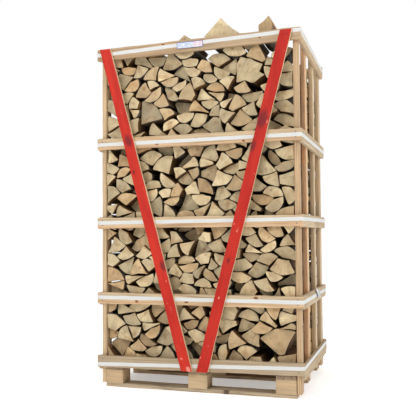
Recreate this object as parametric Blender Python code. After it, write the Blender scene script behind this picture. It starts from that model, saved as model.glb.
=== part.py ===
# Crate of split hornbeam firewood: a pallet with a slatted frame, full of stacked logs.
# Metres, +Z up. Every place is measured from the crate's own corner: x from its left face,
# y from the face of its front rails, z from the ground. move_to_origin then puts the middle
# of the whole crate's base at the origin.

import math
import random

import bmesh
import bpy
import numpy as np
from mathutils import Vector
from mathutils.geometry import delaunay_2d_cdt

# The crate's overall size, over its rails.
WIDTH = 1.200
DEPTH = 0.893
GAP = 0.0003

# Pallet
BOARD = 0.020
BLOCK_TOP = 0.0977
BLOCK_DEPTH = 0.103
PALLET_INSET = 0.0223
BLOCKS_X = ((0.0443, 0.150), (0.546, 0.656), (1.041, 1.1527))
DECK_TOP = 0.138
DECK_BOARDS = 5
DECK_BOARD_WIDTH = 0.140

# Frame: five levels of rails round two sides of upright slats. Each slat is given by its y start
# and its low end: the outer ones stand beside the blocks, the inner ones end under the deck.
RAIL = 0.022
SIDE_RAIL = 0.0197
FRONT_LEVELS = ((0.118, 0.188), (0.476, 0.543), (0.910, 0.975), (1.369, 1.438), (1.904, 1.976))
SIDE_LEVELS = ((0.098, 0.177), (0.467, 0.543), (0.906, 0.979), (1.362, 1.441), (1.912, 1.984))
# Rails that lie a little askew: the lift of a front one's left and right end, by its level, and the
# lift of a side one's front and rear end
FRONT_SKEW = {1: (-0.008, 0.006), 5: (-0.009, 0.006)}
SIDE_SKEW = {("right", 5): (0.0, -0.020), ("left", 5): (-0.010, 0.0)}
LEVEL_ENDS = (0.0, 0.0)
SLAT = 0.024
SLAT_WIDTH = 0.078
SLATS = ((0.0223, 0.022), (0.258, 0.058), (0.550, 0.058), (0.7927, 0.030))
SLAT_TOP = 1.968

# Two red braces in a V over the front rails: x at the low end, x at the high end, z of both ends
BRACE = 0.020
BRACE_WIDTH = 0.065
BRACE_LOW = 0.120
BRACES = (("brace_left", 0.518, 0.025, 1.958), ("brace_right", 0.606, 1.093, 1.966))

# Straps: middle heights of the run's four corners, front left round to rear left
STRAP = 0.0012
STRAP_WIDTH = 0.021
STRAP_CORNERS = (
    (0.130, 0.165, 0.167, 0.135),
    (0.514, 0.510, 0.506, 0.512),
    (0.943, 0.951, 0.956, 0.945),
    (1.400, 1.401, 1.406, 1.402),
    (1.930, 1.963, 1.945, 1.935),
)

# Label on the top rail, and the buckle of the second strap on the right side
LABEL = 0.0008
LABEL_X = (0.500, 0.655)
LABEL_Z = (1.923, 1.960)
BUCKLE = 0.004
BUCKLE_Y = (0.468, 0.512)
BUCKLE_HEIGHT = 0.034
BUCKLE_Z = 0.508

# Firewood: three rows of logs laid front to back
LOG_LENGTH = 0.270
ROW_GAP = 0.010
FIRST_ROW = 0.0315
END_SPREAD = 0.006
RELIEF = 0.018
PILE_LEFT = 0.047
PILE_RIGHT = 1.150
PILE_BOTTOM = 0.1386
PILE_TOP = 1.968
PILE_DROP = 0.085
DROP_START = 0.95
COLUMN = 0.004
BRIDGED = 7
WALL_SLOT = 13
UNEVEN = 0.006
WALLS = (0.0458, 1.1542)
WALL_REACH = 0.022
WALL_SLACK = 0.15

# Faceting of the firewood: how far the mass behind the log ends stands outside the outermost logs,
# how deep its grooves between them are, and the smallest corners kept, in square metres
OUTSET = 0.0015
GROOVE = 0.034
LEVEL = 0.006
OUTER_DETAIL = 0.0003
LOG_DETAIL = 0.0005

# What stands out past the rails, and with it the whole crate's middle
STRAP_OUT = GAP + STRAP
BRACE_OUT = STRAP_OUT + GAP + BRACE
BUCKLE_OUT = STRAP_OUT + GAP + BUCKLE
MIDDLE_X = (WIDTH + BUCKLE_OUT - STRAP_OUT) / 2
MIDDLE_Y = (DEPTH + STRAP_OUT - BRACE_OUT) / 2


def material(name, colour, roughness, metallic=0.0):
    made = bpy.data.materials.new(name)
    made.use_nodes = True
    shader = made.node_tree.nodes["Principled BSDF"]
    shader.inputs["Base Color"].default_value = (*colour, 1.0)
    shader.inputs["Roughness"].default_value = roughness
    shader.inputs["Metallic"].default_value = metallic
    return made


def move_to_origin(points):
    return [(x - MIDDLE_X, y - MIDDLE_Y, z) for x, y, z in points]


def mesh_object(name, points, faces, finish):
    """Make an object from corner points in the crate's own measure."""
    shape = bmesh.new()
    corners = [shape.verts.new(point) for point in move_to_origin(points)]
    for face in faces:
        shape.faces.new([corners[i] for i in face])
    mesh = bpy.data.meshes.new(name)
    shape.to_mesh(mesh)
    shape.free()
    mesh.materials.append(finish)
    made = bpy.data.objects.new(name, mesh)
    bpy.context.collection.objects.link(made)
    return made


def prisms(outlines):
    """Points and faces of prisms along y, each an outline in x and z with a front and a back y."""
    points, faces = [], []
    for outline, front, back in outlines:
        if turns_clockwise(outline):
            outline = outline[::-1]
        first, count = len(points), len(outline)
        points += [(x, front, z) for x, z in outline] + [(x, back, z) for x, z in outline]
        faces.append([first + i for i in range(count)])
        faces.append([first + count + i for i in reversed(range(count))])
        for i in range(count):
            j = (i + 1) % count
            faces.append([first + i, first + count + i, first + count + j, first + j])
    return points, faces


def turns_clockwise(outline):
    twice_area = 0.0
    for (x, z), (next_x, next_z) in zip(outline, [*outline[1:], outline[0]]):
        twice_area += x * next_z - next_x * z
    return twice_area < 0


def board(name, x, y, z, finish, ends_x=LEVEL_ENDS, ends_y=LEVEL_ENDS):
    """A straight board from its lowest to its highest x, y and z. ends_x lifts its left and its
    right end, and ends_y its front and its rear end."""
    outline = ((x[0], z[0]), (x[1], z[0]), (x[1], z[1]), (x[0], z[1]))
    points, faces = prisms([(outline, y[0], y[1])])
    points = [(a, b, c + ends_x[a == x[1]] + ends_y[b == y[1]]) for a, b, c in points]
    return mesh_object(name, points, faces, finish)


def block_rows():
    """The front, middle and rear y spans that the blocks and the bottom boards share."""
    starts = (PALLET_INSET, (DEPTH - BLOCK_DEPTH) / 2, DEPTH - PALLET_INSET - BLOCK_DEPTH)
    return [(start, start + BLOCK_DEPTH) for start in starts]


def build_pallet():
    rough = material("pallet_wood", (0.36, 0.27, 0.17), 0.85)
    block = material("block_wood", (0.60, 0.44, 0.26), 0.85)
    spans = tuple(zip(("front", "middle", "rear"), block_rows()))
    for row, y in spans:
        board(f"bottom_board_{row}", (BLOCKS_X[0][0], BLOCKS_X[-1][1]), y, (0.0, BOARD), rough)
        for side, x in zip(("left", "middle", "right"), BLOCKS_X):
            board(f"block_{row}_{side}", x, y, (BOARD + GAP, BLOCK_TOP), block)
    inside = (PALLET_INSET, DEPTH - PALLET_INSET)
    for side, x in zip(("left", "middle", "right"), BLOCKS_X):
        board(f"stringer_{side}", x, inside, (BLOCK_TOP + GAP, DECK_TOP - BOARD - GAP), rough)
    pitch = (inside[1] - inside[0] - DECK_BOARD_WIDTH) / (DECK_BOARDS - 1)
    for i in range(DECK_BOARDS):
        y = inside[0] + i * pitch
        board(f"deck_board_{i + 1}", (BLOCKS_X[0][0], BLOCKS_X[-1][1]),
              (y, y + DECK_BOARD_WIDTH), (DECK_TOP - BOARD, DECK_TOP), rough)


def build_frame():
    rail = material("rail_wood", (0.62, 0.42, 0.24), 0.75)
    slat = material("slat_wood", (0.66, 0.46, 0.26), 0.75)
    sides = (("left", 0.0, 1), ("right", WIDTH, -1))
    for side, face, inward in sides:
        outer = face + inward * (SIDE_RAIL + GAP)
        x = sorted((outer, outer + inward * SLAT))
        for i, (start, low) in enumerate(SLATS):
            board(f"slat_{side}_{i + 1}", x, (start, start + SLAT_WIDTH), (low, SLAT_TOP), slat)
        x = sorted((face, face + inward * SIDE_RAIL))
        for i, z in enumerate(SIDE_LEVELS, 1):
            skew = SIDE_SKEW.get((side, i), LEVEL_ENDS)
            board(f"rail_{side}_{i}", x, (RAIL + GAP, DEPTH - RAIL - GAP), z, rail, ends_y=skew)
    for i, z in enumerate(FRONT_LEVELS, 1):
        skew = FRONT_SKEW.get(i, LEVEL_ENDS)
        board(f"rail_front_{i}", (0.0, WIDTH), (0.0, RAIL), z, rail, ends_x=skew)
        board(f"rail_rear_{i}", (0.0, WIDTH), (DEPTH - RAIL, DEPTH), z, rail)


def build_braces():
    red = material("red_paint", (0.62, 0.05, 0.03), 0.5)
    back = -STRAP_OUT - GAP
    for name, low_x, high_x, high_z in BRACES:
        lean = math.atan2(high_x - low_x, high_z - BRACE_LOW)
        width = BRACE_WIDTH / math.cos(lean)
        outline = ((low_x, BRACE_LOW), (low_x + width, BRACE_LOW),
                   (high_x + width, high_z), (high_x, high_z))
        mesh_object(name, *prisms([(outline, back - BRACE, back)]), red)


def build_straps():
    white = material("strap_weave", (0.83, 0.83, 0.80), 0.6)
    for i, heights in enumerate(STRAP_CORNERS):
        points = []
        for out in (GAP, GAP + STRAP):
            corners = ((-out, -out), (WIDTH + out, -out), (WIDTH + out, DEPTH + out), (-out, DEPTH + out))
            for lift in (-STRAP_WIDTH / 2, STRAP_WIDTH / 2):
                points += [(x, y, z + lift) for (x, y), z in zip(corners, heights)]
        faces = []
        for k in range(4):
            n = (k + 1) % 4
            low, high, outer, top = (k, n), (4 + k, 4 + n), (8 + k, 8 + n), (12 + k, 12 + n)
            faces += [(*low[::-1], *high), (*outer, *top[::-1])]
            faces += [(*low, *outer[::-1]), (*high[::-1], *top)]
        mesh_object(f"strap_{i + 1}", points, faces, white)


def build_label():
    paper = material("label_paper", (0.80, 0.82, 0.86), 0.6)
    back = -STRAP_OUT - GAP
    board("label", LABEL_X, (back - LABEL, back), LABEL_Z, paper)


def build_buckle():
    steel = material("buckle_steel", (0.55, 0.56, 0.56), 0.35, 1.0)
    x = WIDTH + STRAP_OUT + GAP
    z = (BUCKLE_Z - BUCKLE_HEIGHT / 2, BUCKLE_Z + BUCKLE_HEIGHT / 2)
    board("strap_buckle", (x, x + BUCKLE), BUCKLE_Y, z, steel)


def split_log(radius, angle, heart=0.0, turn=0.0, steps=2):
    """A split log's end, bark side up before it is turned: the part of a round stem between two
    radial splits, with the stem's heart split off too where heart is a share of the radius."""
    half = math.radians(angle) / 2
    spread = [half * (2 * i / steps - 1) for i in range(steps + 1)]
    outline = [(radius * math.sin(a), radius * math.cos(a)) for a in spread]
    outline += [(radius * heart * math.sin(a), radius * heart * math.cos(a)) for a in (half, -half)]
    return turned(outline if heart else outline[:-1], math.radians(turn))


def round_log(radius, steps=7):
    spread = [2 * math.pi * i / steps for i in range(steps)]
    return np.array([(radius * math.cos(a), radius * math.sin(a)) for a in spread])


def turned(outline, angle):
    c, s = math.cos(angle), math.sin(angle)
    return np.array([(x * c - z * s, x * s + z * c) for x, z in outline])


def any_log(rng):
    """Draw a log of the sizes that a splitter makes from stems 20 to 30 cm thick. A split runs
    along the fibre, so its corners are a few millimetres off a true slice's."""
    pick = rng.random()
    if pick < 0.28:
        outline = split_log(rng.uniform(0.095, 0.145), rng.uniform(48, 80))
    elif pick < 0.44:
        outline = split_log(rng.uniform(0.073, 0.103), rng.uniform(80, 115), steps=3)
    elif pick < 0.66:
        outline = split_log(rng.uniform(0.105, 0.152), rng.uniform(38, 66), rng.uniform(0.25, 0.55))
    elif pick < 0.76:
        outline = split_log(rng.uniform(0.050, 0.066), rng.uniform(150, 175), steps=4)
    elif pick < 0.775:
        return round_log(rng.uniform(0.028, 0.042))
    elif pick < 0.90:
        outline = split_log(rng.uniform(0.090, 0.132), rng.uniform(24, 40), rng.uniform(0.0, 0.35))
    else:
        outline = split_log(rng.uniform(0.056, 0.082), rng.uniform(55, 90))
    return outline + np.array([[rng.uniform(-UNEVEN, UNEVEN) for _ in range(2)] for _ in outline])


def heart_up_log(left, right, height):
    """A log lying on its bark. Its two split faces meet in an edge on top, and left and right are
    the corners where they end, measured from that edge."""
    return np.array(((left[0], height + left[1]), (0.75 * left[0], 0.14 * height), (0.0, 0.0),
                     (0.75 * right[0], 0.14 * height), (right[0], height + right[1]), (0.0, height)))


def notched_log():
    """The large log near the top with a deep notch in its right side."""
    return np.array(((0.0, 0.0), (0.05, 0.01), (0.10, -0.012), (0.165, 0.03),
                     (0.13, 0.05), (0.155, 0.09), (0.09, 0.125), (0.03, 0.145), (0.005, 0.10)))


# Logs that stand out in the front row: outline, then the middle of its box in x and z
FRONT_MARKS = (
    (notched_log(), 0.915, 1.790),
    (split_log(0.140, 78, 0.0, -40), 0.325, 1.614),
    (split_log(0.110, 88, 0.0, 30, 3), 0.388, 1.301),
    (split_log(0.165, 76, 0.15, 12), 1.050, 0.300),
    (heart_up_log((-0.095, -0.101), (0.107, -0.095), 0.168), 0.751, 2.012),
    (heart_up_log((-0.057, -0.048), (0.024, -0.057), 0.160), 0.996, 2.000),
    (heart_up_log((-0.062, -0.050), (0.062, -0.046), 0.079), 0.533, 1.967),
)

# Rows: name, seed, logs placed by hand, and which of the logs' ends show
ROWS = (
    ("firewood_front", 137, FRONT_MARKS, "front"),
    ("firewood_middle", 16, (), None),
    ("firewood_rear", 10, (), "rear"),
)


def pile_limit(x):
    """How high the pile may reach: level, and lower towards the right end."""
    share = (x - DROP_START) / (PILE_RIGHT - DROP_START)
    return PILE_TOP - PILE_DROP * max(0.0, share)


def skyline(outline):
    """The lowest and the highest z of an outline in each column from its left end."""
    after = np.roll(outline, -1, axis=0)
    steps = np.arange(0, 1.0001, 0.02)
    x = (outline[:, :1] + (after - outline)[:, :1] * steps).ravel()
    z = (outline[:, 1:] + (after - outline)[:, 1:] * steps).ravel()
    column = np.floor(x / COLUMN + 1e-6).astype(int)
    low = np.full(column.max() + 1, np.inf)
    high = -low
    np.minimum.at(low, column, z)
    np.maximum.at(high, column, z)
    return low, high


def windows(values, width):
    return np.lib.stride_tricks.sliding_window_view(values, width)


def bridged(surface, width=BRIDGED):
    """The surface with the slots filled that are narrower than width columns, an odd number."""
    edge = width // 2
    over = windows(np.pad(surface, edge, constant_values=surface.max() + 0.1), width).max(axis=1)
    return windows(np.pad(over, edge, constant_values=9.0), width).min(axis=1)


def slots(surface, width=13):
    """The area of the surface's slots that are too narrow for a log."""
    return float(np.clip(bridged(surface, width) - surface, 0, 0.12).sum() * COLUMN)


def stack_logs(seed, marks):
    """Stack a row by hand, as it were: try some logs on every place of the pile's top, keep the
    one that lies lowest with the least air below it, and go on until none fits below the limit.
    A slot too narrow for a log stays open, and the next logs bridge it. The logs placed by hand go
    in when the pile has come up to them."""
    rng = random.Random(seed)
    columns = int((PILE_RIGHT - PILE_LEFT) / COLUMN)
    surface = np.full(columns, PILE_BOTTOM)
    limit = np.array([pile_limit(PILE_LEFT + COLUMN * (i + 0.5)) for i in range(columns)])
    waiting = []
    for outline, x, z in marks:
        shape = outline - outline.min(axis=0)
        size = shape.max(axis=0)
        low, high = skyline(shape)
        at = int(round((x - size[0] / 2 - PILE_LEFT) / COLUMN))
        at = min(max(at, 0), columns - len(low))
        waiting.append((z - size[1] / 2, shape, low, high, at))
    logs = []
    while True:
        roof = limit.copy()
        for z, shape, low, high, at in waiting:
            span = slice(at, at + len(low))
            roof[span] = np.minimum(roof[span], z + low + 0.012)
        trials = try_logs(rng, surface, roof)
        ready = []
        for mark in waiting:
            z, shape, low, high, at = mark
            rest = (surface[at:at + len(low)] - low).max()
            if rest >= z - 0.03 or not trials:
                ready.append((rest, at, mark))
        if ready:
            z, at, mark = min(ready, key=lambda item: item[:2])
            waiting = [other for other in waiting if other is not mark]
            shape, low, high = mark[1:4]
        elif trials:
            shape, low, high, at, z = best_trial(trials, surface)
        else:
            break
        span = slice(at, at + len(low))
        surface[span] = np.maximum(surface[span], z + high)
        surface = np.maximum(surface, bridged(surface))
        logs.append(shape + np.array((PILE_LEFT + at * COLUMN, z)))
    return logs


def try_logs(rng, surface, roof, draws=8, turns=8, air=1.0, lift=1.5):
    """Each drawn log in each turn, at the place where it costs least. A log near a wall touches
    it, or leaves room there for another log."""
    trials = []
    for _ in range(draws):
        drawn = any_log(rng)
        start = rng.uniform(0, 2 * math.pi)
        for turn in range(turns):
            shape = turned(drawn, start + 2 * math.pi * turn / turns)
            shape = shape - shape.min(axis=0)
            low, high = skyline(shape)
            under = windows(surface, len(low))
            z = (under - low).max(axis=1)
            area = (high - low).sum() * COLUMN
            void = (z[:, None] + low - under).sum(axis=1) * COLUMN
            fits = (z[:, None] + high <= windows(roof, len(low))).all(axis=1)
            cost = air * void / area + lift * (z + high.mean() - surface.min()) / 0.1
            cost = np.where(fits, cost, np.inf)
            cost[1:WALL_SLOT] = cost[-WALL_SLOT:-1] = np.inf
            at = int(cost.argmin())
            if cost[at] < math.inf:
                trials.append((cost[at], len(trials), area, shape, low, high, at, z[at]))
    return sorted(trials, key=lambda trial: trial[:2])


def best_trial(trials, surface, kept=14, slot=2.0):
    """Of the cheapest trials, the one that leaves the fewest narrow slots."""
    best = None
    for cost, _, area, shape, low, high, at, z in trials[:kept]:
        after = surface.copy()
        after[at:at + len(low)] = np.maximum(after[at:at + len(low)], z + high)
        cost += slot * slots(after) / area
        if best is None or cost < best[0]:
            best = (cost, shape, low, high, at, z)
    return best[1:]


def outer_line(logs):
    """The line round the pile, just outside its outermost logs: up the right side, over the top
    and down the left side, with the grooves between logs no deeper than GROOVE."""
    over = np.full(int((PILE_RIGHT - PILE_LEFT) / COLUMN), PILE_BOTTOM)
    for log in logs:
        corner = log.min(axis=0)
        high = corner[1] + skyline(log - corner)[1]
        at = max(0, int(round((corner[0] - PILE_LEFT) / COLUMN)))
        over[at:at + len(high)] = np.maximum(over[at:at + len(high)], high[:len(over) - at])
    xs = PILE_LEFT + COLUMN * (np.arange(len(over)) + 0.5)
    clear = (xs > PILE_LEFT + GROOVE) & (xs < PILE_RIGHT - GROOVE)
    top = np.array((xs[clear], over[clear] + OUTSET)).T
    levels = np.arange(PILE_BOTTOM, min(top[0, 1], top[-1, 1]) - LEVEL, LEVEL)
    left = np.full(len(levels), PILE_LEFT + GROOVE)
    right = np.full(len(levels), PILE_RIGHT - GROOVE)
    for log in logs:
        corner = log.min(axis=0)
        near, far = skyline((log - corner)[:, ::-1])
        at = (levels - corner[1]) / COLUMN
        met = (at >= 0) & (at < len(near))
        rows = at[met].astype(int)
        left[met] = np.minimum(left[met], corner[0] + near[rows])
        right[met] = np.maximum(right[met], corner[0] + far[rows])
    sides = [np.array((x, levels)).T for x in (right + OUTSET, left - OUTSET)]
    return simplified(np.concatenate((sides[0], top[::-1], sides[1][::-1])), OUTER_DETAIL)


def simplified(outline, detail):
    """The outline without the corners whose triangle with their neighbours is under detail."""
    kept = list(outline)
    while len(kept) > 4:
        before, after = kept[-1:] + kept[:-1], kept[1:] + kept[:1]
        size = [abs((b[0] - a[0]) * (c[1] - a[1]) - (b[1] - a[1]) * (c[0] - a[0])) / 2
                for a, b, c in zip(before, kept, after)]
        least = size.index(min(size))
        if size[least] > detail:
            break
        kept.pop(least)
    return np.array(kept)


def against_walls(outline):
    """The outline with the corners that nearly reach a wall moved almost on to it."""
    x = outline[:, 0]
    for wall in WALLS:
        x = np.where(abs(x - wall) < WALL_REACH, wall + WALL_SLACK * (x - wall), x)
    return np.stack((x, outline[:, 1]), axis=1)


def shrunk(outline, share=0.985):
    middle = outline.mean(axis=0)
    return middle + (outline - middle) * share


def relief(mass, ends, face, back):
    """Points and faces of a solid from the outline mass, whose near side lies at y face and has a
    flat-topped step for each log: ends holds the logs' outlines with the y of their ends."""
    corners, loops = [], []
    for outline in [mass, *(outline for outline, _ in ends)]:
        loops.append(list(range(len(corners), len(corners) + len(outline))))
        corners += [Vector(corner) for corner in outline]
    flat, _, cells, _, _, origins = delaunay_2d_cdt(corners, [], loops, 1, 1e-6)
    level = [ends[max(origin) - 1][1] if max(origin) else face for origin in origins]
    beside = {}
    steps = [set() for _ in flat]
    for cell, y in zip(cells, level):
        for a, b in zip(cell, [*cell[1:], cell[0]]):
            beside[a, b] = y
            steps[a].add(y)
    rim = {a: b for a, b in beside if (b, a) not in beside}
    for a in rim:
        steps[a].add(back)
    outward = 1 if back > face else -1
    points, index = [], {}

    def corner(a, y):
        if (a, y) not in index:
            index[a, y] = len(points)
            points.append((flat[a].x, y, flat[a].y))
        return index[a, y]

    faces = [[corner(a, y) for a in cell] for cell, y in zip(cells, level)]
    for (a, b), y in beside.items():
        deeper = beside.get((b, a), back)
        if outward * (deeper - y) > 0:
            between = [[c for c in sorted(steps[end], reverse=outward < 0)
                        if min(y, deeper) <= c <= max(y, deeper)] for end in (a, b)]
            faces.append([corner(a, c) for c in between[0]] + [corner(b, c) for c in between[1][::-1]])
    start = a = next(iter(rim))
    loop = [corner(start, back)]
    while rim[a] != start:
        a = rim[a]
        loop.append(corner(a, back))
    faces.append(loop[::-1])
    return points, faces if outward > 0 else [face[::-1] for face in faces]


def build_firewood():
    finish = material("hornbeam", (0.60, 0.45, 0.26), 0.85)
    for row, (name, seed, marks, shows) in enumerate(ROWS):
        logs = [against_walls(log) for log in stack_logs(seed, marks)]
        front = FIRST_ROW + row * (LOG_LENGTH + ROW_GAP)
        back = front + LOG_LENGTH
        rng = random.Random(seed + 100)
        offsets = [[rng.uniform(-END_SPREAD, END_SPREAD) for _ in range(2)] for _ in logs]
        outlines = [simplified(shrunk(log), LOG_DETAIL) for log in logs]
        mass = outer_line(logs)
        if shows == "front":
            ends = [(outline, front + offset[0]) for outline, offset in zip(outlines, offsets)]
            solid = relief(mass, ends, front + RELIEF, back)
        elif shows == "rear":
            ends = [(outline, back + offset[1]) for outline, offset in zip(outlines, offsets)]
            solid = relief(mass, ends, back - RELIEF, front)
        else:
            solid = prisms([(mass, front, back)])
        mesh_object(name, *solid, finish)


def main():
    for old in list(bpy.data.objects):
        bpy.data.objects.remove(old)
    build_pallet()
    build_frame()
    build_braces()
    build_straps()
    build_label()
    build_buckle()
    build_firewood()


main()
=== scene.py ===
# %% [markdown]
# A crate of split hornbeam firewood, as it is sold kiln dried: a pallet, a frame of sawn softwood
# rails and slats, five white straps, two red boards in a V over the front, and nearly a thousand logs.
# The solids of the crate come in as a fixed frame. Each of them is then replaced by a piece that has
# the saw's and the axe's marks, in the same place and no larger.

# %% Load the crate's frame
import math
import random

import bpy
import numpy as np
from mathutils import Matrix, Vector


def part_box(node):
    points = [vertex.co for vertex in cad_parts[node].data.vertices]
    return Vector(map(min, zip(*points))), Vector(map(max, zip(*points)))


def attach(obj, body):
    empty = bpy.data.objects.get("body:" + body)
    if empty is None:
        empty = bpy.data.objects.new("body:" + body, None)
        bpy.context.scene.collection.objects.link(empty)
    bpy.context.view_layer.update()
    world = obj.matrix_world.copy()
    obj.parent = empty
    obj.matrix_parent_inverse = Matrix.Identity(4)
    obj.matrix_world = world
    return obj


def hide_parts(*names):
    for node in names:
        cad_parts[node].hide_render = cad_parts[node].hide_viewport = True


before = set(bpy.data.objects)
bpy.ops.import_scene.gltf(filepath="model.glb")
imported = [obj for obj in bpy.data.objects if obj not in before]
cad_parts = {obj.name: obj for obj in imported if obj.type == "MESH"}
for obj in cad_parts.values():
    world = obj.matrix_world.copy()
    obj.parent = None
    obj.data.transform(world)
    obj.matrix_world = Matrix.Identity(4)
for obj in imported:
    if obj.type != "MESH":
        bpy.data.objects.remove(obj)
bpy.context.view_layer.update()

# %% [markdown]
# The camera stands where the photographer stood: at chest height, a little to the right of the
# crate's front corner. Its place came from matching the ends of the rails, so here it is set by its
# turn, tilt and roll, and not by a point that it looks at.

# %% Camera
CAMERA_PLACE = Vector((1.1542, -3.8408, 0.8669))
CAMERA_TURN, CAMERA_TILT, CAMERA_ROLL = (math.radians(a) for a in (17.592, 2.423, -0.444))
CAMERA_LENS = 55.98

camera_data = bpy.data.cameras.new("camera")
camera_data.lens = CAMERA_LENS
camera_data.sensor_width = 36.0
camera = bpy.data.objects.new("camera", camera_data)
bpy.context.scene.collection.objects.link(camera)
ahead = Vector((-math.sin(CAMERA_TURN) * math.cos(CAMERA_TILT),
                math.cos(CAMERA_TURN) * math.cos(CAMERA_TILT), math.sin(CAMERA_TILT)))
level = Vector((math.cos(CAMERA_TURN), math.sin(CAMERA_TURN), 0.0))
upright = level.cross(ahead)
right = level * math.cos(CAMERA_ROLL) + upright * math.sin(CAMERA_ROLL)
up = upright * math.cos(CAMERA_ROLL) - level * math.sin(CAMERA_ROLL)
camera.matrix_world = Matrix.Translation(CAMERA_PLACE) @ Matrix((right, up, -ahead)).transposed().to_4x4()
bpy.context.scene.camera = camera
print("camera", round(CAMERA_PLACE.length, 2), "m from the crate's foot, lens", CAMERA_LENS, "mm")

# %% [markdown]
# Colours are written as on a paint card, in sRGB hex, and Blender's sockets want linear light. One
# function turns one into the other. Another adds a shader node with its settings and links what comes
# before it, so that a finish reads as a list of steps.

# %% Colours and nodes
def linear(code):
    parts = [int(code[i:i + 2], 16) / 255 for i in (1, 3, 5)]
    return (*(p / 12.92 if p <= 0.04045 else ((p + 0.055) / 1.055) ** 2.4 for p in parts), 1.0)


def feed(tree, node, inputs):
    """Set or link a node's inputs, by name or by place among those that the editor shows."""
    shown = [socket for socket in node.inputs if socket.enabled]
    for key, value in inputs.items():
        socket = shown[key] if isinstance(key, int) else next(s for s in shown if s.name == key)
        if isinstance(value, str):
            value = linear(value)
        if isinstance(value, bpy.types.Node):
            value = next(s for s in value.outputs if s.enabled)
        if isinstance(value, bpy.types.NodeSocket):
            tree.links.new(value, socket)
        else:
            socket.default_value = value


def add(tree, kind, *values, **named):
    """Add a node. Values feed its inputs in their order, and a name with a capital is an input too."""
    node = tree.nodes.new("ShaderNode" + kind)
    for name in named:
        if name[0].islower():
            setattr(node, name, named[name])
    by_name = {name: value for name, value in named.items() if name[0].isupper()}
    feed(tree, node, {**dict(enumerate(values)), **by_name})
    return node


def new_finish(name, roughness, ior=1.5, metallic=0.0):
    made = bpy.data.materials.new(name)
    made.use_nodes = True
    shader = made.node_tree.nodes["Principled BSDF"]
    feed(made.node_tree, shader, {"Roughness": roughness, "IOR": ior, "Metallic": metallic})
    return made, made.node_tree, shader


# %% [markdown]
# Outdoors under an overcast sky the light comes from all round, and most of it from above. The sky
# here is a gradient that is brighter at the top. What the camera sees of it is plain white, like the
# cut-out ground of a catalogue picture. Two large soft lamps light the front and the right side, so
# that the gaps between the logs stay dark. The floor is a light table: white acrylic that glows a
# little from below, so its shadows are soft and no horizon cuts the picture in two.

# %% Light and floor
def soft_lamp(name, place, target, size, power):
    lamp = bpy.data.lights.new(name, "AREA")
    lamp.shape, lamp.size, lamp.energy = "DISK", size, power
    holder = bpy.data.objects.new(name, lamp)
    holder.location = place
    holder.rotation_euler = (Vector(target) - Vector(place)).to_track_quat("-Z", "Y").to_euler()
    bpy.context.scene.collection.objects.link(holder)


SKY_LOW, SKY_TOP = 0.32, 0.82
world = bpy.data.worlds.new("overcast_sky")
world.use_nodes = True
sky = world.node_tree
toward = add(sky, "TexCoord")
rise = add(sky, "SeparateXYZ", toward.outputs["Generated"])
light = add(sky, "MapRange", rise.outputs["Z"], 0.0, 1.0, SKY_LOW, SKY_TOP)
seen = add(sky, "Mix", add(sky, "LightPath"), light, 1.0)
feed(sky, sky.nodes["Background"], {"Color": (1.0, 1.0, 1.0, 1.0), "Strength": seen})
bpy.context.scene.world = world
bpy.context.scene.view_settings.view_transform = "Standard"
soft_lamp("front_lamp", (-1.4, -5.2, 4.2), (0.0, 0.0, 1.1), 2.4, 128.0)
soft_lamp("right_lamp", (5.2, -1.2, 3.8), (0.0, 0.0, 1.1), 2.4, 118.0)

FLOOR_REACH = 30.0
FLOOR_GLOW = 0.36
corners = [(x * FLOOR_REACH, y * FLOOR_REACH, 0.0) for x, y in ((-1, -1), (1, -1), (1, 1), (-1, 1))]
floor_mesh = bpy.data.meshes.new("floor")
floor_mesh.from_pydata(corners, [], [(0, 1, 2, 3)])
floor = bpy.data.objects.new("floor", floor_mesh)
bpy.context.scene.collection.objects.link(floor)
acrylic, tree, shader = new_finish("light_table_acrylic", 0.9)
mottle = add(tree, "TexNoise", Scale=0.7, Detail=2.0)
feed(tree, shader, {"Base Color": add(tree, "Mix", mottle, "#FBFBFA", "#FEFEFE", data_type="RGBA"),
                    "Emission Color": (1.0, 1.0, 1.0, 1.0), "Emission Strength": FLOOR_GLOW})
floor_mesh.materials.append(acrylic)
print("sky", SKY_LOW, "to", SKY_TOP, "and two soft lamps")

# %% [markdown]
# Everything wooden here is many like pieces: boards, logs, nails. They are gathered as points and
# faces with numpy and made into one mesh at the end, which is much faster than an object for each.
# Every corner carries what a shader needs to know of the wood: grain is its place along the fibre
# and, across it, from the stem's heart; mark is its place from the nearest knot, in knot sizes, and
# a third number that is the knot's size on a board, below 0 for a chip in the paint, and on a log how
# much the point faces out of the pile; and tone is three numbers, the same all over a board or log.

# %% Gathering a mesh
FAR_MARK = (9.0, 9.0, 0.01)


class Gathered:
    def __init__(self):
        self.points, self.faces, self.finishes = [], [], []
        self.carried = {"grain": [], "mark": [], "tone": []}

    def add(self, points, faces, finishes, grain, tone, mark=FAR_MARK):
        first = sum(len(part) for part in self.points)
        self.points.append(np.asarray(points, float))
        self.faces += [[first + i for i in face] for face in faces]
        self.finishes += finishes
        for name, value in (("grain", grain), ("mark", mark), ("tone", tone)):
            self.carried[name].append(np.broadcast_to(np.asarray(value, float), (len(points), 3)))

    def make(self, name, materials, sharp=35.0):
        mesh = bpy.data.meshes.new(name)
        mesh.from_pydata(np.concatenate(self.points).tolist(), [], self.faces)
        for made in materials:
            mesh.materials.append(made)
        mesh.polygons.foreach_set("material_index", self.finishes)
        for kind, values in self.carried.items():
            attribute = mesh.attributes.new(kind, "FLOAT_VECTOR", "POINT")
            attribute.data.foreach_set("vector", np.concatenate(values).astype(np.float32).ravel())
        mesh.shade_smooth()
        mesh.set_sharp_from_angle(angle=math.radians(sharp))
        made = bpy.data.objects.new(name, mesh)
        bpy.context.scene.collection.objects.link(made)
        return made


def stand_in(piece, *nodes):
    """Put a piece in the place of solids of the frame, riding with the crate."""
    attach(piece, "root")
    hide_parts(*nodes)


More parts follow.
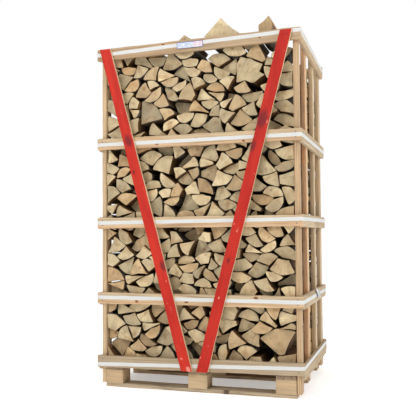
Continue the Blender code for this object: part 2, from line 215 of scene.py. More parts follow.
def tube_faces(rings, around, first_ring=0):
    """The quads of a tube whose points come ring by ring, closed round each ring."""
    faces = []
    for r in range(first_ring, first_ring + rings - 1):
        for i in range(around):
            j = (i + 1) % around
            faces.append([r * around + i, r * around + j, (r + 1) * around + j, (r + 1) * around + i])
    return faces


def wander(rng, waves=(0.83, 0.31, 0.13)):
    """A smooth line that wanders between about -1 and 1 along a board, its waves given in metres."""
    phases = [rng.uniform(0, 2 * math.pi) for _ in waves]
    return lambda t: sum(np.sin(2 * math.pi * np.asarray(t) / wave + phase)
                         for wave, phase in zip(waves, phases)) / len(waves)


# %% [markdown]
# The boards are spruce, rough from the saw. Spruce is pale and pinkish with darker late wood in each
# ring, and its knots are brown ovals that the grain flows round. The rings are drawn as rings round
# a heart that lies outside the board, so the broad side, the edge and the end all agree. Real rings
# are 2 to 4 mm wide, which is finer than this picture can show, so they are drawn 9 mm wide. IOR is
# near 1.5, as for most plant fibre, and the sawn surface is rough at 0.75 to 0.85.

# %% Sawn softwood
MARKED = ("grain", "mark")
RING = 0.009
FIBRE = 0.0045
SAW_STEP = 0.005


def softwood_pattern(tree):
    """What all softwood shares: how much late wood, fine fibre, knot and blotch a point has."""
    grain, mark = [add(tree, "Attribute", attribute_name=name).outputs["Vector"] for name in MARKED]
    flat = add(tree, "VectorMath", mark, (1.0, 1.0, 0.0), operation="MULTIPLY")
    reach_off = add(tree, "VectorMath", flat, operation="LENGTH")
    ragged_place = add(tree, "VectorMath", grain, (60.0, 190.0, 190.0), operation="MULTIPLY")
    ragged = add(tree, "TexNoise", ragged_place, 1.0, 2.0)
    off = add(tree, "Math", ragged, 0.9, add(tree, "Math", reach_off, -0.45, operation="ADD"),
              operation="MULTIPLY_ADD")
    pull = add(tree, "MapRange", off, 0.3, 3.2, 0.75, 0.0, interpolation_type="SMOOTHSTEP")
    part = add(tree, "SeparateXYZ", mark)
    away = add(tree, "Math", part.outputs["Y"], part.outputs["Z"], operation="MULTIPLY")
    push = add(tree, "Math", away, pull, operation="MULTIPLY")
    shift = add(tree, "CombineXYZ", Y=push)
    bent = add(tree, "VectorMath", grain, shift, operation="SUBTRACT")
    slow_place = add(tree, "VectorMath", bent, (0.9, 5.0, 5.0), operation="MULTIPLY")
    slow = add(tree, "TexNoise", slow_place, 1.0, 1.0)
    across = add(tree, "VectorMath", bent, (0.0, 1.0, 1.0), operation="MULTIPLY")
    reach = add(tree, "VectorMath", across, operation="LENGTH")
    bowed = add(tree, "Math", slow, 4.5 * RING, reach, operation="MULTIPLY_ADD")
    turn = add(tree, "Math", bowed, 2 * math.pi / RING, operation="MULTIPLY")
    wave = add(tree, "Math", turn, operation="SINE")
    late = add(tree, "MapRange", wave, -0.2, 1.0, interpolation_type="SMOOTHSTEP")
    fine_place = add(tree, "VectorMath", bent, (6.0, 1 / FIBRE, 1 / FIBRE), operation="MULTIPLY")
    fibre = add(tree, "TexNoise", fine_place, 1.0, 3.0)
    wide_place = add(tree, "VectorMath", grain, (3.0, 14.0, 14.0), operation="MULTIPLY")
    blotch = add(tree, "TexNoise", wide_place, 1.0, 2.0)
    saw_place = add(tree, "VectorMath", grain, (1 / SAW_STEP, 9.0, 9.0), operation="MULTIPLY")
    saw = add(tree, "TexNoise", saw_place, 1.0, 1.0)
    is_knot = add(tree, "MapRange", part.outputs["Z"], 0.0, 0.003)
    is_chip = add(tree, "MapRange", part.outputs["Z"], 0.0, -0.003)
    core = add(tree, "MapRange", off, 0.75, 1.1, 1.0, 0.0)
    knot = add(tree, "Math", core, is_knot, operation="MULTIPLY")
    chip = add(tree, "Math", core, is_chip, operation="MULTIPLY")
    near = add(tree, "MapRange", off, 0.7, 2.2, 1.0, 0.0, interpolation_type="SMOOTHSTEP")
    halo = add(tree, "Math", near, is_knot, operation="MULTIPLY")
    return {"late": late, "fibre": fibre, "blotch": blotch, "saw": saw, "knot": knot, "halo": halo,
            "chip": chip}


def softwood_colour(tree, pattern, early, late, reddish, grey, knot):
    """Early and late wood, then the board's own tone, its fibres and blotches, and the knots."""
    tone = add(tree, "Attribute", attribute_name="tone").outputs["Vector"]
    light, red, dull = add(tree, "SeparateXYZ", tone).outputs
    ringed = add(tree, "Mix", pattern["late"], early, late, data_type="RGBA")
    red = add(tree, "Math", red, 0.75, operation="MULTIPLY")
    warm = add(tree, "Mix", red, ringed, reddish, data_type="RGBA")
    worn = add(tree, "MapRange", pattern["blotch"], 0.3, 0.7, 0.45, 1.0)
    dull = add(tree, "Math", dull, worn, operation="MULTIPLY")
    cool = add(tree, "Mix", dull, warm, grey, data_type="RGBA")
    fibre = add(tree, "MapRange", pattern["fibre"], 0.25, 0.75, 0.84, 1.1)
    lined = add(tree, "Mix", 1.0, cool, fibre, data_type="RGBA", blend_type="MULTIPLY")
    light = add(tree, "MapRange", light, 0.0, 1.0, 0.7, 1.12)
    lit = add(tree, "Mix", 1.0, lined, light, data_type="RGBA", blend_type="MULTIPLY")
    patch = add(tree, "MapRange", pattern["blotch"], 0.3, 0.7, 0.83, 1.1)
    mottled = add(tree, "Mix", 1.0, lit, patch, data_type="RGBA", blend_type="MULTIPLY")
    ringing = add(tree, "Math", pattern["halo"], 0.45, operation="MULTIPLY")
    shaded = add(tree, "Mix", ringing, mottled, reddish, data_type="RGBA")
    return add(tree, "Mix", pattern["knot"], shaded, knot, data_type="RGBA")


def softwood_relief(tree, pattern, depth=0.0007, strength=0.5):
    """Fibres and saw steps stand up by less than a millimetre, and knots crack and sink a little."""
    rough = add(tree, "Math", pattern["fibre"], pattern["saw"], operation="ADD")
    sunk = add(tree, "Math", pattern["knot"], -0.6, rough, operation="MULTIPLY_ADD")
    return add(tree, "Bump", Strength=strength, Distance=depth, Height=sunk)


def dirtied(tree, colour, most):
    """Long streaks of dirt that has worked into the fibre."""
    grain = add(tree, "Attribute", attribute_name="grain").outputs["Vector"]
    place = add(tree, "VectorMath", grain, (5.0, 90.0, 90.0), operation="MULTIPLY")
    streak = add(tree, "TexNoise", place, 1.0, 3.0)
    share = add(tree, "MapRange", streak, 0.48, 0.68, 0.0, most)
    return add(tree, "Mix", share, colour, "#64584A", data_type="RGBA")


def sawn_softwood(name, early, late, reddish, grey, knot, roughness=0.78, dirt=0.2):
    made, tree, shader = new_finish(name, roughness)
    pattern = softwood_pattern(tree)
    colour = softwood_colour(tree, pattern, early, late, reddish, grey, knot)
    feed(tree, shader, {"Base Color": dirtied(tree, colour, dirt),
                        "Normal": softwood_relief(tree, pattern)})
    return made


rail_spruce = sawn_softwood("sawn_spruce_rails", "#E2C8A0", "#CBAA80", "#D09C74", "#B5A890", "#7A4A2B")
slat_spruce = sawn_softwood("sawn_spruce_slats", "#DEC49B", "#C4A276", "#C48A62", "#A69B84", "#6E4228",
                            dirt=0.3)
block_spruce = sawn_softwood("sawn_spruce_blocks", "#DCC29A", "#D0B187", "#C59A72", "#A79A83", "#8A5E3E")
pallet_spruce = sawn_softwood("weathered_pallet_spruce", "#D2BD9B", "#AE9673", "#B98963", "#A39A8A",
                              "#5B4632",
                              0.85, dirt=0.85)
print("four finishes of sawn spruce, rings drawn", RING * 1000, "mm wide")

# %% [markdown]
# Nails hold the boards. Their flat heads are 7 mm wide, of bright drawn steel that has dulled in the
# shed, so they are metal with a middling roughness and a faint stain.

# %% Nail steel
nail_steel, tree, shader = new_finish("dull_nail_steel", 0.45, metallic=1.0)
stain = add(tree, "TexNoise", Scale=220.0, Detail=2.0)
feed(tree, shader, {"Base Color": add(tree, "Mix", stain, "#8E8A84", "#6F5F50", data_type="RGBA")})
NAIL_HEAD = 0.0035
NAIL_RISE = 0.0006
NAIL_SIDES = 8


def nail(gathered, place, out, finish=1):
    """A nail's head at a place on a board, with out the axis and sign that it looks along."""
    axis, sign = out
    spokes = [2 * math.pi * i / NAIL_SIDES for i in range(NAIL_SIDES)]
    sides = [i for i in range(3) if i != axis]
    points = []
    for radius, rise in ((1.0, -0.001), (1.0, 0.5 * NAIL_RISE), (0.75, NAIL_RISE)):
        for spoke in spokes:
            point = list(place)
            point[axis] += sign * rise
            point[sides[0]] += NAIL_HEAD * radius * math.cos(spoke)
            point[sides[1]] += NAIL_HEAD * radius * math.sin(spoke)
            points.append(point)
    faces = tube_faces(3, NAIL_SIDES) + [[2 * NAIL_SIDES + i for i in range(NAIL_SIDES)]]
    turns_out = (sign > 0) == (axis != 1)
    faces = faces if turns_out else [face[::-1] for face in faces]
    gathered.add(points, faces, [finish] * len(faces), points, (0.5, 0.5, 0.5))


# %% [markdown]
# A sawn board is straight only at first sight. Its edges wander by a millimetre or two, one arris is
# often round where the bark was, and the ends are cut a little askew. Each board is a tube of rings
# across it, one every 30 mm: a rectangle with rounded arrises whose sides follow those wandering
# lines. It always goes inwards from the solid that it stands for, so nothing grows.

# %% Boards
BOARD_STEP = 0.030
ARRIS = 0.0016
ARRIS_TURNS = 3
HEART_OFF = (0.05, 0.11)
KNOT_ROOM = 0.10


def board_ring(width, thick, round_off, steps):
    """Points across a board: a over its width and b through its thickness, arrises rounded."""
    points = []
    middles = ((round_off[0], round_off[0]), (width - round_off[1], round_off[1]),
               (width - round_off[2], thick - round_off[2]), (round_off[3], thick - round_off[3]))
    for corner, (a, b) in enumerate(middles):
        for i in range(ARRIS_TURNS):
            turn = math.pi + corner * math.pi / 2 + i * math.pi / 2 / (ARRIS_TURNS - 1)
            points.append((a + round_off[corner] * math.cos(turn),
                           b + round_off[corner] * math.sin(turn)))
        if corner % 2 == 0:
            a_end = middles[corner + 1][0]
            b_side = 0.0 if corner == 0 else thick
            points += [(a + (a_end - a) * k / steps, b_side) for k in range(1, steps)]
    return np.array(points)


def nearest_knot(knots, u):
    return min(knots, key=lambda knot: abs(knot[0] - u), default=None)


def add_board(gathered, low, high, seed, tone, wane=0.0015, knots=(), random_knots=2.0, skew=0.0015,
              rough_arris=None, steps=3, other_sides=0, upper=None, turns_at=0.5):
    """Gather one board from its lowest and highest corner. knots are given as (place along, place across,
    size), with a size below 0 for a chip, and random_knots is how many more there are to a
    metre. other_sides is the finish of all but the side that faces the lowest corner. upper is the
    tone of the far part of its width, where sapwood turns into heartwood, and turns_at says where."""
    rng = random.Random(seed)
    low, high = np.array(low), np.array(high)
    size = high - low
    along, wide, deep = sorted(range(3), key=lambda i: -size[i])
    length, width, thick = size[along], size[wide], size[deep]
    stations = [0.0, 0.0012, *np.linspace(0, length, max(3, round(length / BOARD_STEP)) + 1)[1:-1],
                length - 0.0012, length]
    edges = [wander(rng), wander(rng)]
    rounds = [wander(rng, (0.5, 0.2)) for _ in range(4)]
    corner_size = [ARRIS * rng.uniform(0.8, 1.6) for _ in range(4)]
    if rough_arris is not None:
        corner_size[rough_arris] = min(0.4 * thick, 0.006)
    skews = [rng.uniform(-skew, skew) for _ in range(2)]
    placed = list(knots)
    for _ in range(int(random_knots * length + rng.random())):
        knot = (rng.uniform(0.04, length - 0.04), rng.uniform(0.15, 0.85) * width,
                rng.uniform(0.004, 0.008))
        if all(abs(knot[0] - other[0]) > KNOT_ROOM for other in placed):
            placed.append(knot)
    border = wander(rng, (0.9, 0.4))
    points, grain, mark, tones = [], [], [], []
    heart = (rng.uniform(-0.3, 1.3) * width, -rng.uniform(*HEART_OFF))
    start = rng.uniform(0, 9)
    for u in stations:
        offs = [size_ * (1.0 + 0.45 * float(line(u))) for size_, line in zip(corner_size, rounds)]
        ring = board_ring(width, thick, offs, steps)
        trim = [wane * 0.5 * (1 + float(edge(u))) for edge in edges]
        share = ring[:, 0] / width
        a = ring[:, 0] + trim[0] * (1 - share) - trim[1] * share
        b = ring[:, 1]
        if u in (0.0, length):
            a, b = a + (width / 2 - a) * 0.012, b + (thick / 2 - b) * 0.05
        lean = skews[0] if u < length / 2 else skews[1]
        tilt = abs(lean) if lean < 0 else 0.0
        cut = lean * share + tilt
        near_end = u < 0.01 or u > length - 0.01
        shift = (cut if u < length / 2 else -cut) if near_end else 0.0
        place = np.empty((len(ring), 3))
        place[:, along], place[:, wide], place[:, deep] = u + shift, a, b
        points.append(low + place)
        grain.append(np.stack((place[:, along] + start, a - heart[0], b - heart[1]), axis=1))
        turned_over = np.clip((share - turns_at - 0.12 * float(border(u))) * 3.0 + 0.5, 0.0, 1.0)[:, None]
        tones.append(np.array(tone) * (1 - turned_over) + np.array(upper or tone) * turned_over)
        which = [nearest_knot(placed, v) for v in (u - BOARD_STEP, u, u + BOARD_STEP)]
        if which[1] is None:
            mark.append(np.tile(FAR_MARK, (len(ring), 1)))
        else:
            u_knot, a_knot, radius = which[1]
            size_ = abs(radius)
            shown = radius if which[0] == which[1] == which[2] else 0.0
            mark.append(np.stack(((place[:, along] - u_knot) / (1.7 * size_), (a - a_knot) / size_,
                                  np.full(len(a), shown)), axis=1))
    around, rings = len(points[0]), len(stations)
    faces = tube_faces(rings, around)
    faces += [list(range(around))[::-1], [(rings - 1) * around + i for i in range(around)]]
    if (along, wide, deep) not in ((0, 1, 2), (1, 2, 0), (2, 0, 1)):
        faces = [face[::-1] for face in faces]
    outside = [0 if b[i] + b[(i + 1) % around] < thick / 4 else other_sides for i in range(around)]
    finishes = outside * (rings - 1) + [other_sides] * 2
    gathered.add(np.concatenate(points), faces, finishes, np.concatenate(grain), np.concatenate(tones),
                 np.concatenate(mark))


print("board helper ready, a ring every", BOARD_STEP * 1000, "mm")


# %% [markdown]
# The frame: on the front and the rear five rails lie flat against the edges of the corner slats, and
# on each side five rails hold four upright slats. The tone of each board is listed where it shows:
# one slat beside the next is beige, then reddish, then grey, as they come from the pile of offcuts.
# The rest are drawn at random, from the board's own name, so they never change.

# %% Rails and slats
TONES = {
    "rail_front_5": (0.10, 0.42, 0.20), "rail_front_4": (0.50, 0.52, 0.05),
    "rail_front_3": (0.60, 0.55, 0.0),
    "rail_front_2": (0.68, 0.45, 0.08), "rail_front_1": (0.20, 0.20, 0.60),
    "rail_right_5": (0.55, 0.20, 0.45),
    "rail_right_4": (0.50, 0.10, 0.62), "rail_right_3": (0.52, 0.12, 0.55),
    "rail_right_2": (0.42, 0.12, 0.60),
    "rail_right_1": (0.34, 0.10, 0.60), "slat_right_1": (0.38, 0.30, 0.05),
    "slat_right_2": (0.92, 0.85, 0.0),
    "slat_right_3": (0.78, 0.15, 0.45), "slat_right_4": (0.80, 0.25, 0.45),
    "slat_left_1": (0.55, 0.10, 0.05),
}
# The upper half of the front rails, and the rear part of the slats, where they differ
UPPER_TONES = {
    "rail_front_5": (0.12, 0.50, 0.12), "rail_front_4": (0.44, 0.18, 0.12),
    "rail_front_3": (0.66, 0.05, 0.28),
    "rail_front_2": (0.52, 0.12, 0.35), "rail_front_1": (0.20, 0.15, 0.65),
    "slat_right_2": (1.0, 0.10, 0.10), "slat_right_3": (1.0, 0.0, 0.50),
    "slat_right_4": (0.95, 0.10, 0.45),
}
# Knots that show: place along the board, place across it, half their height
KNOTS = {
    "rail_front_5": ((0.415, 0.056, 0.006),),
    "rail_front_4": ((0.375, 0.020, 0.007), (0.883, 0.012, 0.006)),
    "rail_front_3": ((0.757, 0.035, 0.006), (0.156, 0.032, 0.006)),
    "rail_front_2": ((0.547, 0.022, 0.007), (0.943, 0.052, 0.008)),
    "slat_right_1": ((0.345, 0.055, 0.009),),
}
CROSSING = 0.014


def tone_of(node):
    rng = random.Random(node)
    drawn = (rng.uniform(0.3, 0.8), rng.uniform(0.0, 0.7), rng.uniform(0.0, 0.45))
    return TONES.get(node, drawn)


def rises(node, low, high):
    """How much a board's foot rises from its left end to its right, and from its front to its rear."""
    corners = [v.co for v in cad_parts[node].data.vertices]
    found = []
    for axis in (0, 1):
        feet = [min(c.z for c in corners if abs(c[axis] - end[axis]) < 0.001) for end in (low, high)]
        found.append(feet[1] - feet[0])
    return found


def make_board(node, materials, nails=(), **shape):
    """Make a board level, and then lift its far end if the frame's lies askew."""
    low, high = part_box(node)
    lifts = rises(node, low, high)
    lift = sum(lifts)
    gathered = Gathered()
    add_board(gathered, low + Vector((0, 0, max(0, -lift))), high - Vector((0, 0, max(0, lift))), node,
              tone_of(node), knots=KNOTS.get(node, ()), upper=UPPER_TONES.get(node),
              turns_at=0.3 if "slat" in node else 0.5, **shape)
    for place, out in nails:
        nail(gathered, place - Vector((0, 0, lift / 2)), out)
    for points in gathered.points:
        points[:, 2] += sum(lifts[i] * (points[:, i] - low[i]) / (high[i] - low[i]) for i in (0, 1))
    piece = gathered.make("sawn_" + node, materials)
    stand_in(piece, node)
    return piece


def middle(node):
    low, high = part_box(node)
    return (low + high) / 2


def pair(place, axis, spread=CROSSING):
    """Two nails at a crossing, a little apart along an axis."""
    step = Vector([spread if i == axis else 0.0 for i in range(3)])
    return [place - step, place + step]


def build_rails():
    slat_places = {side: [middle(f"slat_{side}_{i}").y for i in range(1, 5)] for side in ("left",
                                                                                          "right")}
    posts = [middle("slat_left_1").x, middle("slat_right_1").x]
    for side, out in (("front", (1, -1)), ("rear", (1, 1))):
        for i in range(1, 6):
            low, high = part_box(f"rail_{side}_{i}")
            face = low.y if out[1] < 0 else high.y
            nails = [(place, out) for x in posts for place in pair(Vector((x, face,
                                                                           (low.z + high.z) / 2)), 2)]
            make_board(f"rail_{side}_{i}", [rail_spruce, nail_steel], nails,
                       rough_arris=1 if i in (2, 4) else None, wane=0.004)
    for side, out in (("left", (0, -1)), ("right", (0, 1))):
        for i in range(1, 6):
            low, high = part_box(f"rail_{side}_{i}")
            face = low.x if out[1] < 0 else high.x
            nails = [(place, out) for y in slat_places[side]
                     for place in pair(Vector((face, y, (low.z + high.z) / 2)), 2)]
            make_board(f"rail_{side}_{i}", [rail_spruce, nail_steel], nails, wane=0.003)


def build_slats():
    for side in ("left", "right"):
        for i in range(1, 5):
            make_board(f"slat_{side}_{i}", [slat_spruce, nail_steel], rough_arris=2 if i % 2 else 1,
                       wane=0.009 if i in (2, 3) else 0.004, random_knots=1.6)


build_rails()
build_slats()
print("20 rails and 8 slats")

# %% [markdown]
# The pallet is rougher: nine sawn blocks between three bottom boards and three stringers, with five
# deck boards across. The bottom boards have been dragged over yards, so they are grey and dirty,
# while the blocks are fresh. Their broad sides show, so they get a finer ring of points.

# %% Pallet
PALLET_TONES = {"block_front_left": (0.42, 0.35, 0.05), "block_front_middle": (0.46, 0.15, 0.20),
                "block_front_right": (0.44, 0.30, 0.10), "bottom_board_front": (0.75, 0.15, 0.40)}
# The deck boards and stringers get the lowest light tone: painted shade, for the shadow that they lie in
# under the front rail.
PALLET_TONES.update({f"deck_board_{i}": (0.0, 0.3, 0.2) for i in range(1, 6)})
PALLET_TONES.update({f"stringer_{side}": (0.0, 0.4, 0.2) for side in ("left", "middle", "right")})
TONES.update(PALLET_TONES)
KNOTS["bottom_board_front"] = ((0.722, 0.003, 0.010), (0.250, 0.100, 0.006))


def build_pallet():
    for row in ("front", "middle", "rear"):
        make_board(f"bottom_board_{row}", [pallet_spruce], wane=0.005, rough_arris=2)
        for side in ("left", "middle", "right"):
            make_board(f"block_{row}_{side}", [block_spruce], wane=0.002, skew=0.003, steps=5,
                       random_knots=3.0)
    for side in ("left", "middle", "right"):
        make_board(f"stringer_{side}", [pallet_spruce], wane=0.002)
    for i in range(1, 6):
        make_board(f"deck_board_{i}", [pallet_spruce], wane=0.003)


build_pallet()
print("pallet: 3 bottom boards, 9 blocks, 3 stringers, 5 deck boards")

# %% [markdown]
# The two braces are boards that have been rolled with red oil paint on their face only. The paint is
# thin: the fibre shows through, knots bleed dark, and where a board knocked against another it is
# rubbed to pink or to bare wood. Their edges are bare. The paint film is smoother than wood, at a
# roughness near 0.6, with the IOR of a resin, 1.5, and half its gloss, because the pigment lies bare.

# %% Red paint
SCUFF = 0.016


def red_paint():
    made, tree, shader = new_finish("red_oil_paint", 0.5)
    pattern = softwood_pattern(tree)
    grain = add(tree, "Attribute", attribute_name="grain").outputs["Vector"]
    wide_place = add(tree, "VectorMath", grain, (4.0, 16.0, 16.0), operation="MULTIPLY")
    cloud = add(tree, "TexNoise", wide_place, 1.0, 3.0)
    deep = add(tree, "MapRange", cloud, 0.35, 0.7)
    coat = add(tree, "Mix", deep, "#C82D1C", "#AE1E14", data_type="RGBA")
    tone = add(tree, "Attribute", attribute_name="tone").outputs["Vector"]
    second_coat = add(tree, "SeparateXYZ", tone).outputs["Z"]
    coat = add(tree, "Mix", second_coat, coat, "#A3160C", data_type="RGBA")
    thin = add(tree, "MapRange", pattern["fibre"], 0.3, 0.75, 0.88, 1.12)
    lined = add(tree, "Mix", 1.0, coat, thin, data_type="RGBA", blend_type="MULTIPLY")
    bleed = add(tree, "Math", pattern["halo"], 0.8, operation="MULTIPLY")
    knotted = add(tree, "Mix", bleed, lined, "#6A1A20", data_type="RGBA")
    rub_place = add(tree, "VectorMath", grain, (1 / (2.5 * SCUFF), 1 / SCUFF, 1 / SCUFF),
                    operation="MULTIPLY")
    rub = add(tree, "TexNoise", rub_place, 1.0, 4.0, 0.65)
    rubbed = add(tree, "MapRange", rub, 0.66, 0.74)
    rubbed_off = add(tree, "Math", rubbed, pattern["chip"], operation="MAXIMUM")
    worn = add(tree, "Mix", rubbed_off, knotted, "#E08A78", data_type="RGBA")
    film = add(tree, "MapRange", cloud, 0.0, 1.0, 0.5, 0.7)
    feed(tree, shader, {"Base Color": worn, "Roughness": film, "Specular IOR Level": 0.25,
                        "Normal": softwood_relief(tree, pattern, 0.0005, 0.4)})
    return made


paint = red_paint()
brace_spruce = sawn_softwood("bare_spruce_edge", "#F0D9B2", "#E0C094", "#D9A983", "#C4B59C", "#7A4A2B")
print("red paint, scuffs about", SCUFF * 1000, "mm")

# %% [markdown]
# Each brace is made upright and then sheared to its lean, which leaves its ends cut level, as on the
# real ones: they were sawn off along the rails after nailing. Two nails go in at every rail.

# %% Braces
# Dark knots under the paint, and chips, with a size below 0: place up the brace, across it, size
BRACE_TONES = {"brace_left": (0.75, 0.2, 0.05), "brace_right": (0.75, 0.2, 0.28)}
BRACE_KNOTS = {
    "brace_left": ((1.292, 0.036, 0.014), (1.11, 0.020, 0.005), (0.578, 0.054, 0.011),
                   (0.494, 0.050, -0.0035),
                   (0.37, 0.022, -0.002), (0.060, 0.024, -0.009), (0.012, 0.048, -0.012)),
    "brace_right": ((1.370, 0.026, 0.019), (1.227, 0.008, 0.012), (0.807, 0.012, -0.003),
                    (0.610, 0.03, 0.006),
                    (0.407, 0.028, -0.0045), (0.08, 0.006, -0.004)),
}


def build_brace(node):
    corners = [v.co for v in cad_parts[node].data.vertices]
    low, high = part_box(node)
    foot = [c.x for c in corners if c.z < low.z + 0.001]
    head = [c.x for c in corners if c.z > high.z - 0.001]
    lean = (min(head) - min(foot)) / (high.z - low.z)
    gathered = Gathered()
    add_board(gathered, (min(foot), low.y, low.z), (max(foot), high.y, high.z), node, BRACE_TONES[node],
              wane=0.0025, knots=BRACE_KNOTS[node], random_knots=0, steps=5, other_sides=2)
    gathered.points[-1][:, 0] += (gathered.points[-1][:, 2] - low.z) * lean
    middle_foot = (min(foot) + max(foot)) / 2
    for i in range(1, 6):
        z = middle(f"rail_front_{i}").z
        x = middle_foot + (z - low.z) * lean
        for place in pair(Vector((x, low.y + NAIL_RISE, z)), 0):
            nail(gathered, place, (1, -1))
    stand_in(gathered.make("painted_" + node, [paint, nail_steel, brace_spruce]), node)


for brace in ("brace_left", "brace_right"):
    build_brace(brace)
print("two braces, leaning over the front rails")

# %% [markdown]
# Five straps of woven polyester, 21 mm wide and 1.2 mm thick, go round the crate over the rails and
# under the braces. Polyester yarn is white with a soft sheen (IOR 1.57, roughness about 0.6). Its
# ribs run lengthwise; real ones are 1.5 mm apart, too fine to show, so five are drawn to the strap.

# %% Strap weave
STRAP_RIBS = 5
STRAP_WIDTH = 0.021
WEFT = 0.004


def woven_strap():
    made, tree, shader = new_finish("woven_polyester_strap", 0.6, 1.57)
    grain = add(tree, "Attribute", attribute_name="grain").outputs["Vector"]
    part = add(tree, "SeparateXYZ", grain)
    across = add(tree, "Math", part.outputs["Y"], 2 * math.pi * STRAP_RIBS / STRAP_WIDTH,
                 operation="MULTIPLY")
    rib = add(tree, "Math", across, operation="COSINE")
    along = add(tree, "Math", part.outputs["X"], 2 * math.pi / WEFT, operation="MULTIPLY")
    pick = add(tree, "Math", along, operation="SINE")
    woven = add(tree, "Math", rib, pick, operation="ADD")
    # Where the ribs and picks dip, the weave is drawn darker: painted shade in its grooves.
    shade = add(tree, "MapRange", woven, -2.0, 2.0)
    weave_with_painted_shade = add(tree, "Mix", shade, "#C6C7C4", "#E8E9E6", data_type="RGBA")
    dust_place = add(tree, "VectorMath", grain, (9.0, 60.0, 1.0), operation="MULTIPLY")
    dust = add(tree, "TexNoise", dust_place, 1.0, 3.0)
    dust_and_painted_shade = add(tree, "MapRange", dust, 0.5, 0.8, 0.0, 0.35)
    soiled = add(tree, "Mix", dust_and_painted_shade, weave_with_painted_shade, "#CFC8BA", data_type="RGBA")
    feed(tree, shader, {"Base Color": soiled, "Sheen Weight": 0.15,
                        "Normal": add(tree, "Bump", Strength=0.5, Distance=0.0004, Height=woven)})
    return made


strap_weave = woven_strap()
print("strap weave with", STRAP_RIBS, "ribs")

# %% [markdown]
# A strap is a ribbon swept along a path. The path is the crate's outline seen from above, with small
# rounds at the corners and the height at each corner taken from the frame, and between them it
# wanders by less than a millimetre, as a pulled strap does. The ribbon's section is a flat lens of
# ten points, so its edges are thin and its middle stands up a little.

# %% Straps
STRAP_THICK = 0.0011
CORNER_ROUND = 0.003
RIBBON = ((-1.0, 0.2), (-0.92, 0.85), (-0.5, 1.0), (0.0, 0.95), (0.5, 1.0), (0.92, 0.85), (1.0, 0.2),
          (0.9, 0.0), (0.0, 0.05), (-0.9, 0.0))


def sweep_ribbon(gathered, path, outs, closed, tone=(0.5, 0.5, 0.5), width=STRAP_WIDTH):
    """Sweep the ribbon's section along points, each with the direction that its outer side faces."""
    path = [Vector(p) for p in path]
    points, grain, run = [], [], 0.0
    for i, (place, out) in enumerate(zip(path, outs)):
        after = path[(i + 1) % len(path)] if closed or i + 1 < len(path) else place + place - path[i - 1]
        before = path[i - 1] if closed or i else place + place - path[1]
        side = Vector(out).cross(after - before).normalized()
        for v, t in RIBBON:
            points.append(place + side * (v * width / 2) + Vector(out) * (t * STRAP_THICK))
            grain.append((run, v * width / 2, 0.0))
        run += (after - place).length
    around, rings = len(RIBBON), len(path)
    faces = tube_faces(rings, around)
    if closed:
        last = (rings - 1) * around
        faces += [[last + i, last + (i + 1) % around, (i + 1) % around, i] for i in range(around)]
    else:
        faces += [list(range(around))[::-1], [(rings - 1) * around + i for i in range(around)]]
    gathered.add(points, faces, [0] * len(faces), grain, tone)
    return run


def strap_path(node, seed):
    rng = random.Random(seed)
    line = wander(rng)
    corners = [v.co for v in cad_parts[node].data.vertices]
    low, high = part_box(node)
    inner = STRAP_THICK + 0.0001
    heights = []
    turns = ((low.x, low.y), (high.x, low.y), (high.x, high.y), (low.x, high.y))
    for x, y in turns:
        near = [c.z for c in corners if abs(c.x - x) < 0.01 and abs(c.y - y) < 0.01]
        heights.append(sum(near) / len(near))
    path, outs = [], []
    for k, (x, y) in enumerate(turns):
        next_x, next_y = turns[(k + 1) % 4]
        way = Vector((next_x - x, next_y - y, 0.0))
        length = way.length
        way.normalize()
        out = Vector((way.y, -way.x, 0.0))
        base = Vector((x, y, 0.0)) - out * inner
        steps = max(4, round(length / 0.03))
        for s in [CORNER_ROUND / length, *np.linspace(0, 1, steps + 1)[1:-1], 1 - CORNER_ROUND / length]:
            z = heights[k] + (heights[(k + 1) % 4] - heights[k]) * s
            sway = 0.0008 * float(line(s * length)) * min(1.0, 8 * s * (1 - s))
            path.append(base + way * (s * length) + Vector((0, 0, z + sway)))
            outs.append(out)
        corner_out = (out + Vector((-way.x, -way.y, 0.0)) * -1).normalized()
        z = heights[(k + 1) % 4]
        path.append(Vector((next_x, next_y, z)) - corner_out * (inner + 0.4 * CORNER_ROUND) * 1.2)
        outs.append(corner_out)
    return path, outs


# The strap's two loose ends at the buckle: how far out, back and up from the buckle's middle, and
# the side that each faces. One runs forwards and up, and the other has twisted to face the front.
LOOSE_ENDS = (
    (((0.0010, 0.036, 0.000), (0.0030, 0.018, 0.000), (0.0062, 0.000, 0.002), (0.0075, -0.014, 0.008),
      (0.0078, -0.030, 0.018), (0.0080, -0.048, 0.029), (0.0080, -0.066, 0.037), (0.0080, -0.082, 0.043)),
     ((1.0, 0.0, 0.0),) * 8),
    (((0.0050, 0.010, 0.030), (0.0070, 0.008, 0.019), (0.0090, 0.006, 0.008), (0.0105, 0.004, -0.004),
      (0.0120, 0.001, -0.016)),
     ((0.5, -0.87, 0.0), (0.35, -0.94, 0.0), (0.26, -0.97, 0.0), (0.20, -0.98, 0.0), (0.17, -0.98, 0.0))),
)
for i in range(1, 6):
    gathered = Gathered()
    run = sweep_ribbon(gathered, *strap_path(f"strap_{i}", i), closed=True)
    if i == 2:
        low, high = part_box("strap_buckle")
        at = Vector((low.x - 0.001, (low.y + high.y) / 2, (low.z + high.z) / 2))
        for steps, outs in LOOSE_ENDS:
            loose = [at + Vector(step) for step in steps[::-1]]
            run += sweep_ribbon(gathered, loose, outs[::-1], closed=False)
    stand_in(gathered.make(f"woven_strap_{i}", [strap_weave]), f"strap_{i}")
    print(f"strap {i}: {run:.2f} m round the crate")

# %% [markdown]
# On the right side the second strap is closed by a buckle bent from galvanised wire 3.4 mm thick: a
# ladder with two rungs that the strap is threaded through. Zinc on steel is metal with a grey,
# slightly blotched face.

# %% Buckle
WIRE = 0.0034
galvanised, tree, shader = new_finish("galvanised_wire", 0.38, metallic=1.0)
spangle = add(tree, "TexVoronoi", Scale=380.0)
feed(tree, shader, {"Base Color": add(tree, "Mix", spangle, "#A9ACAD", "#8B8F91", data_type="RGBA")})


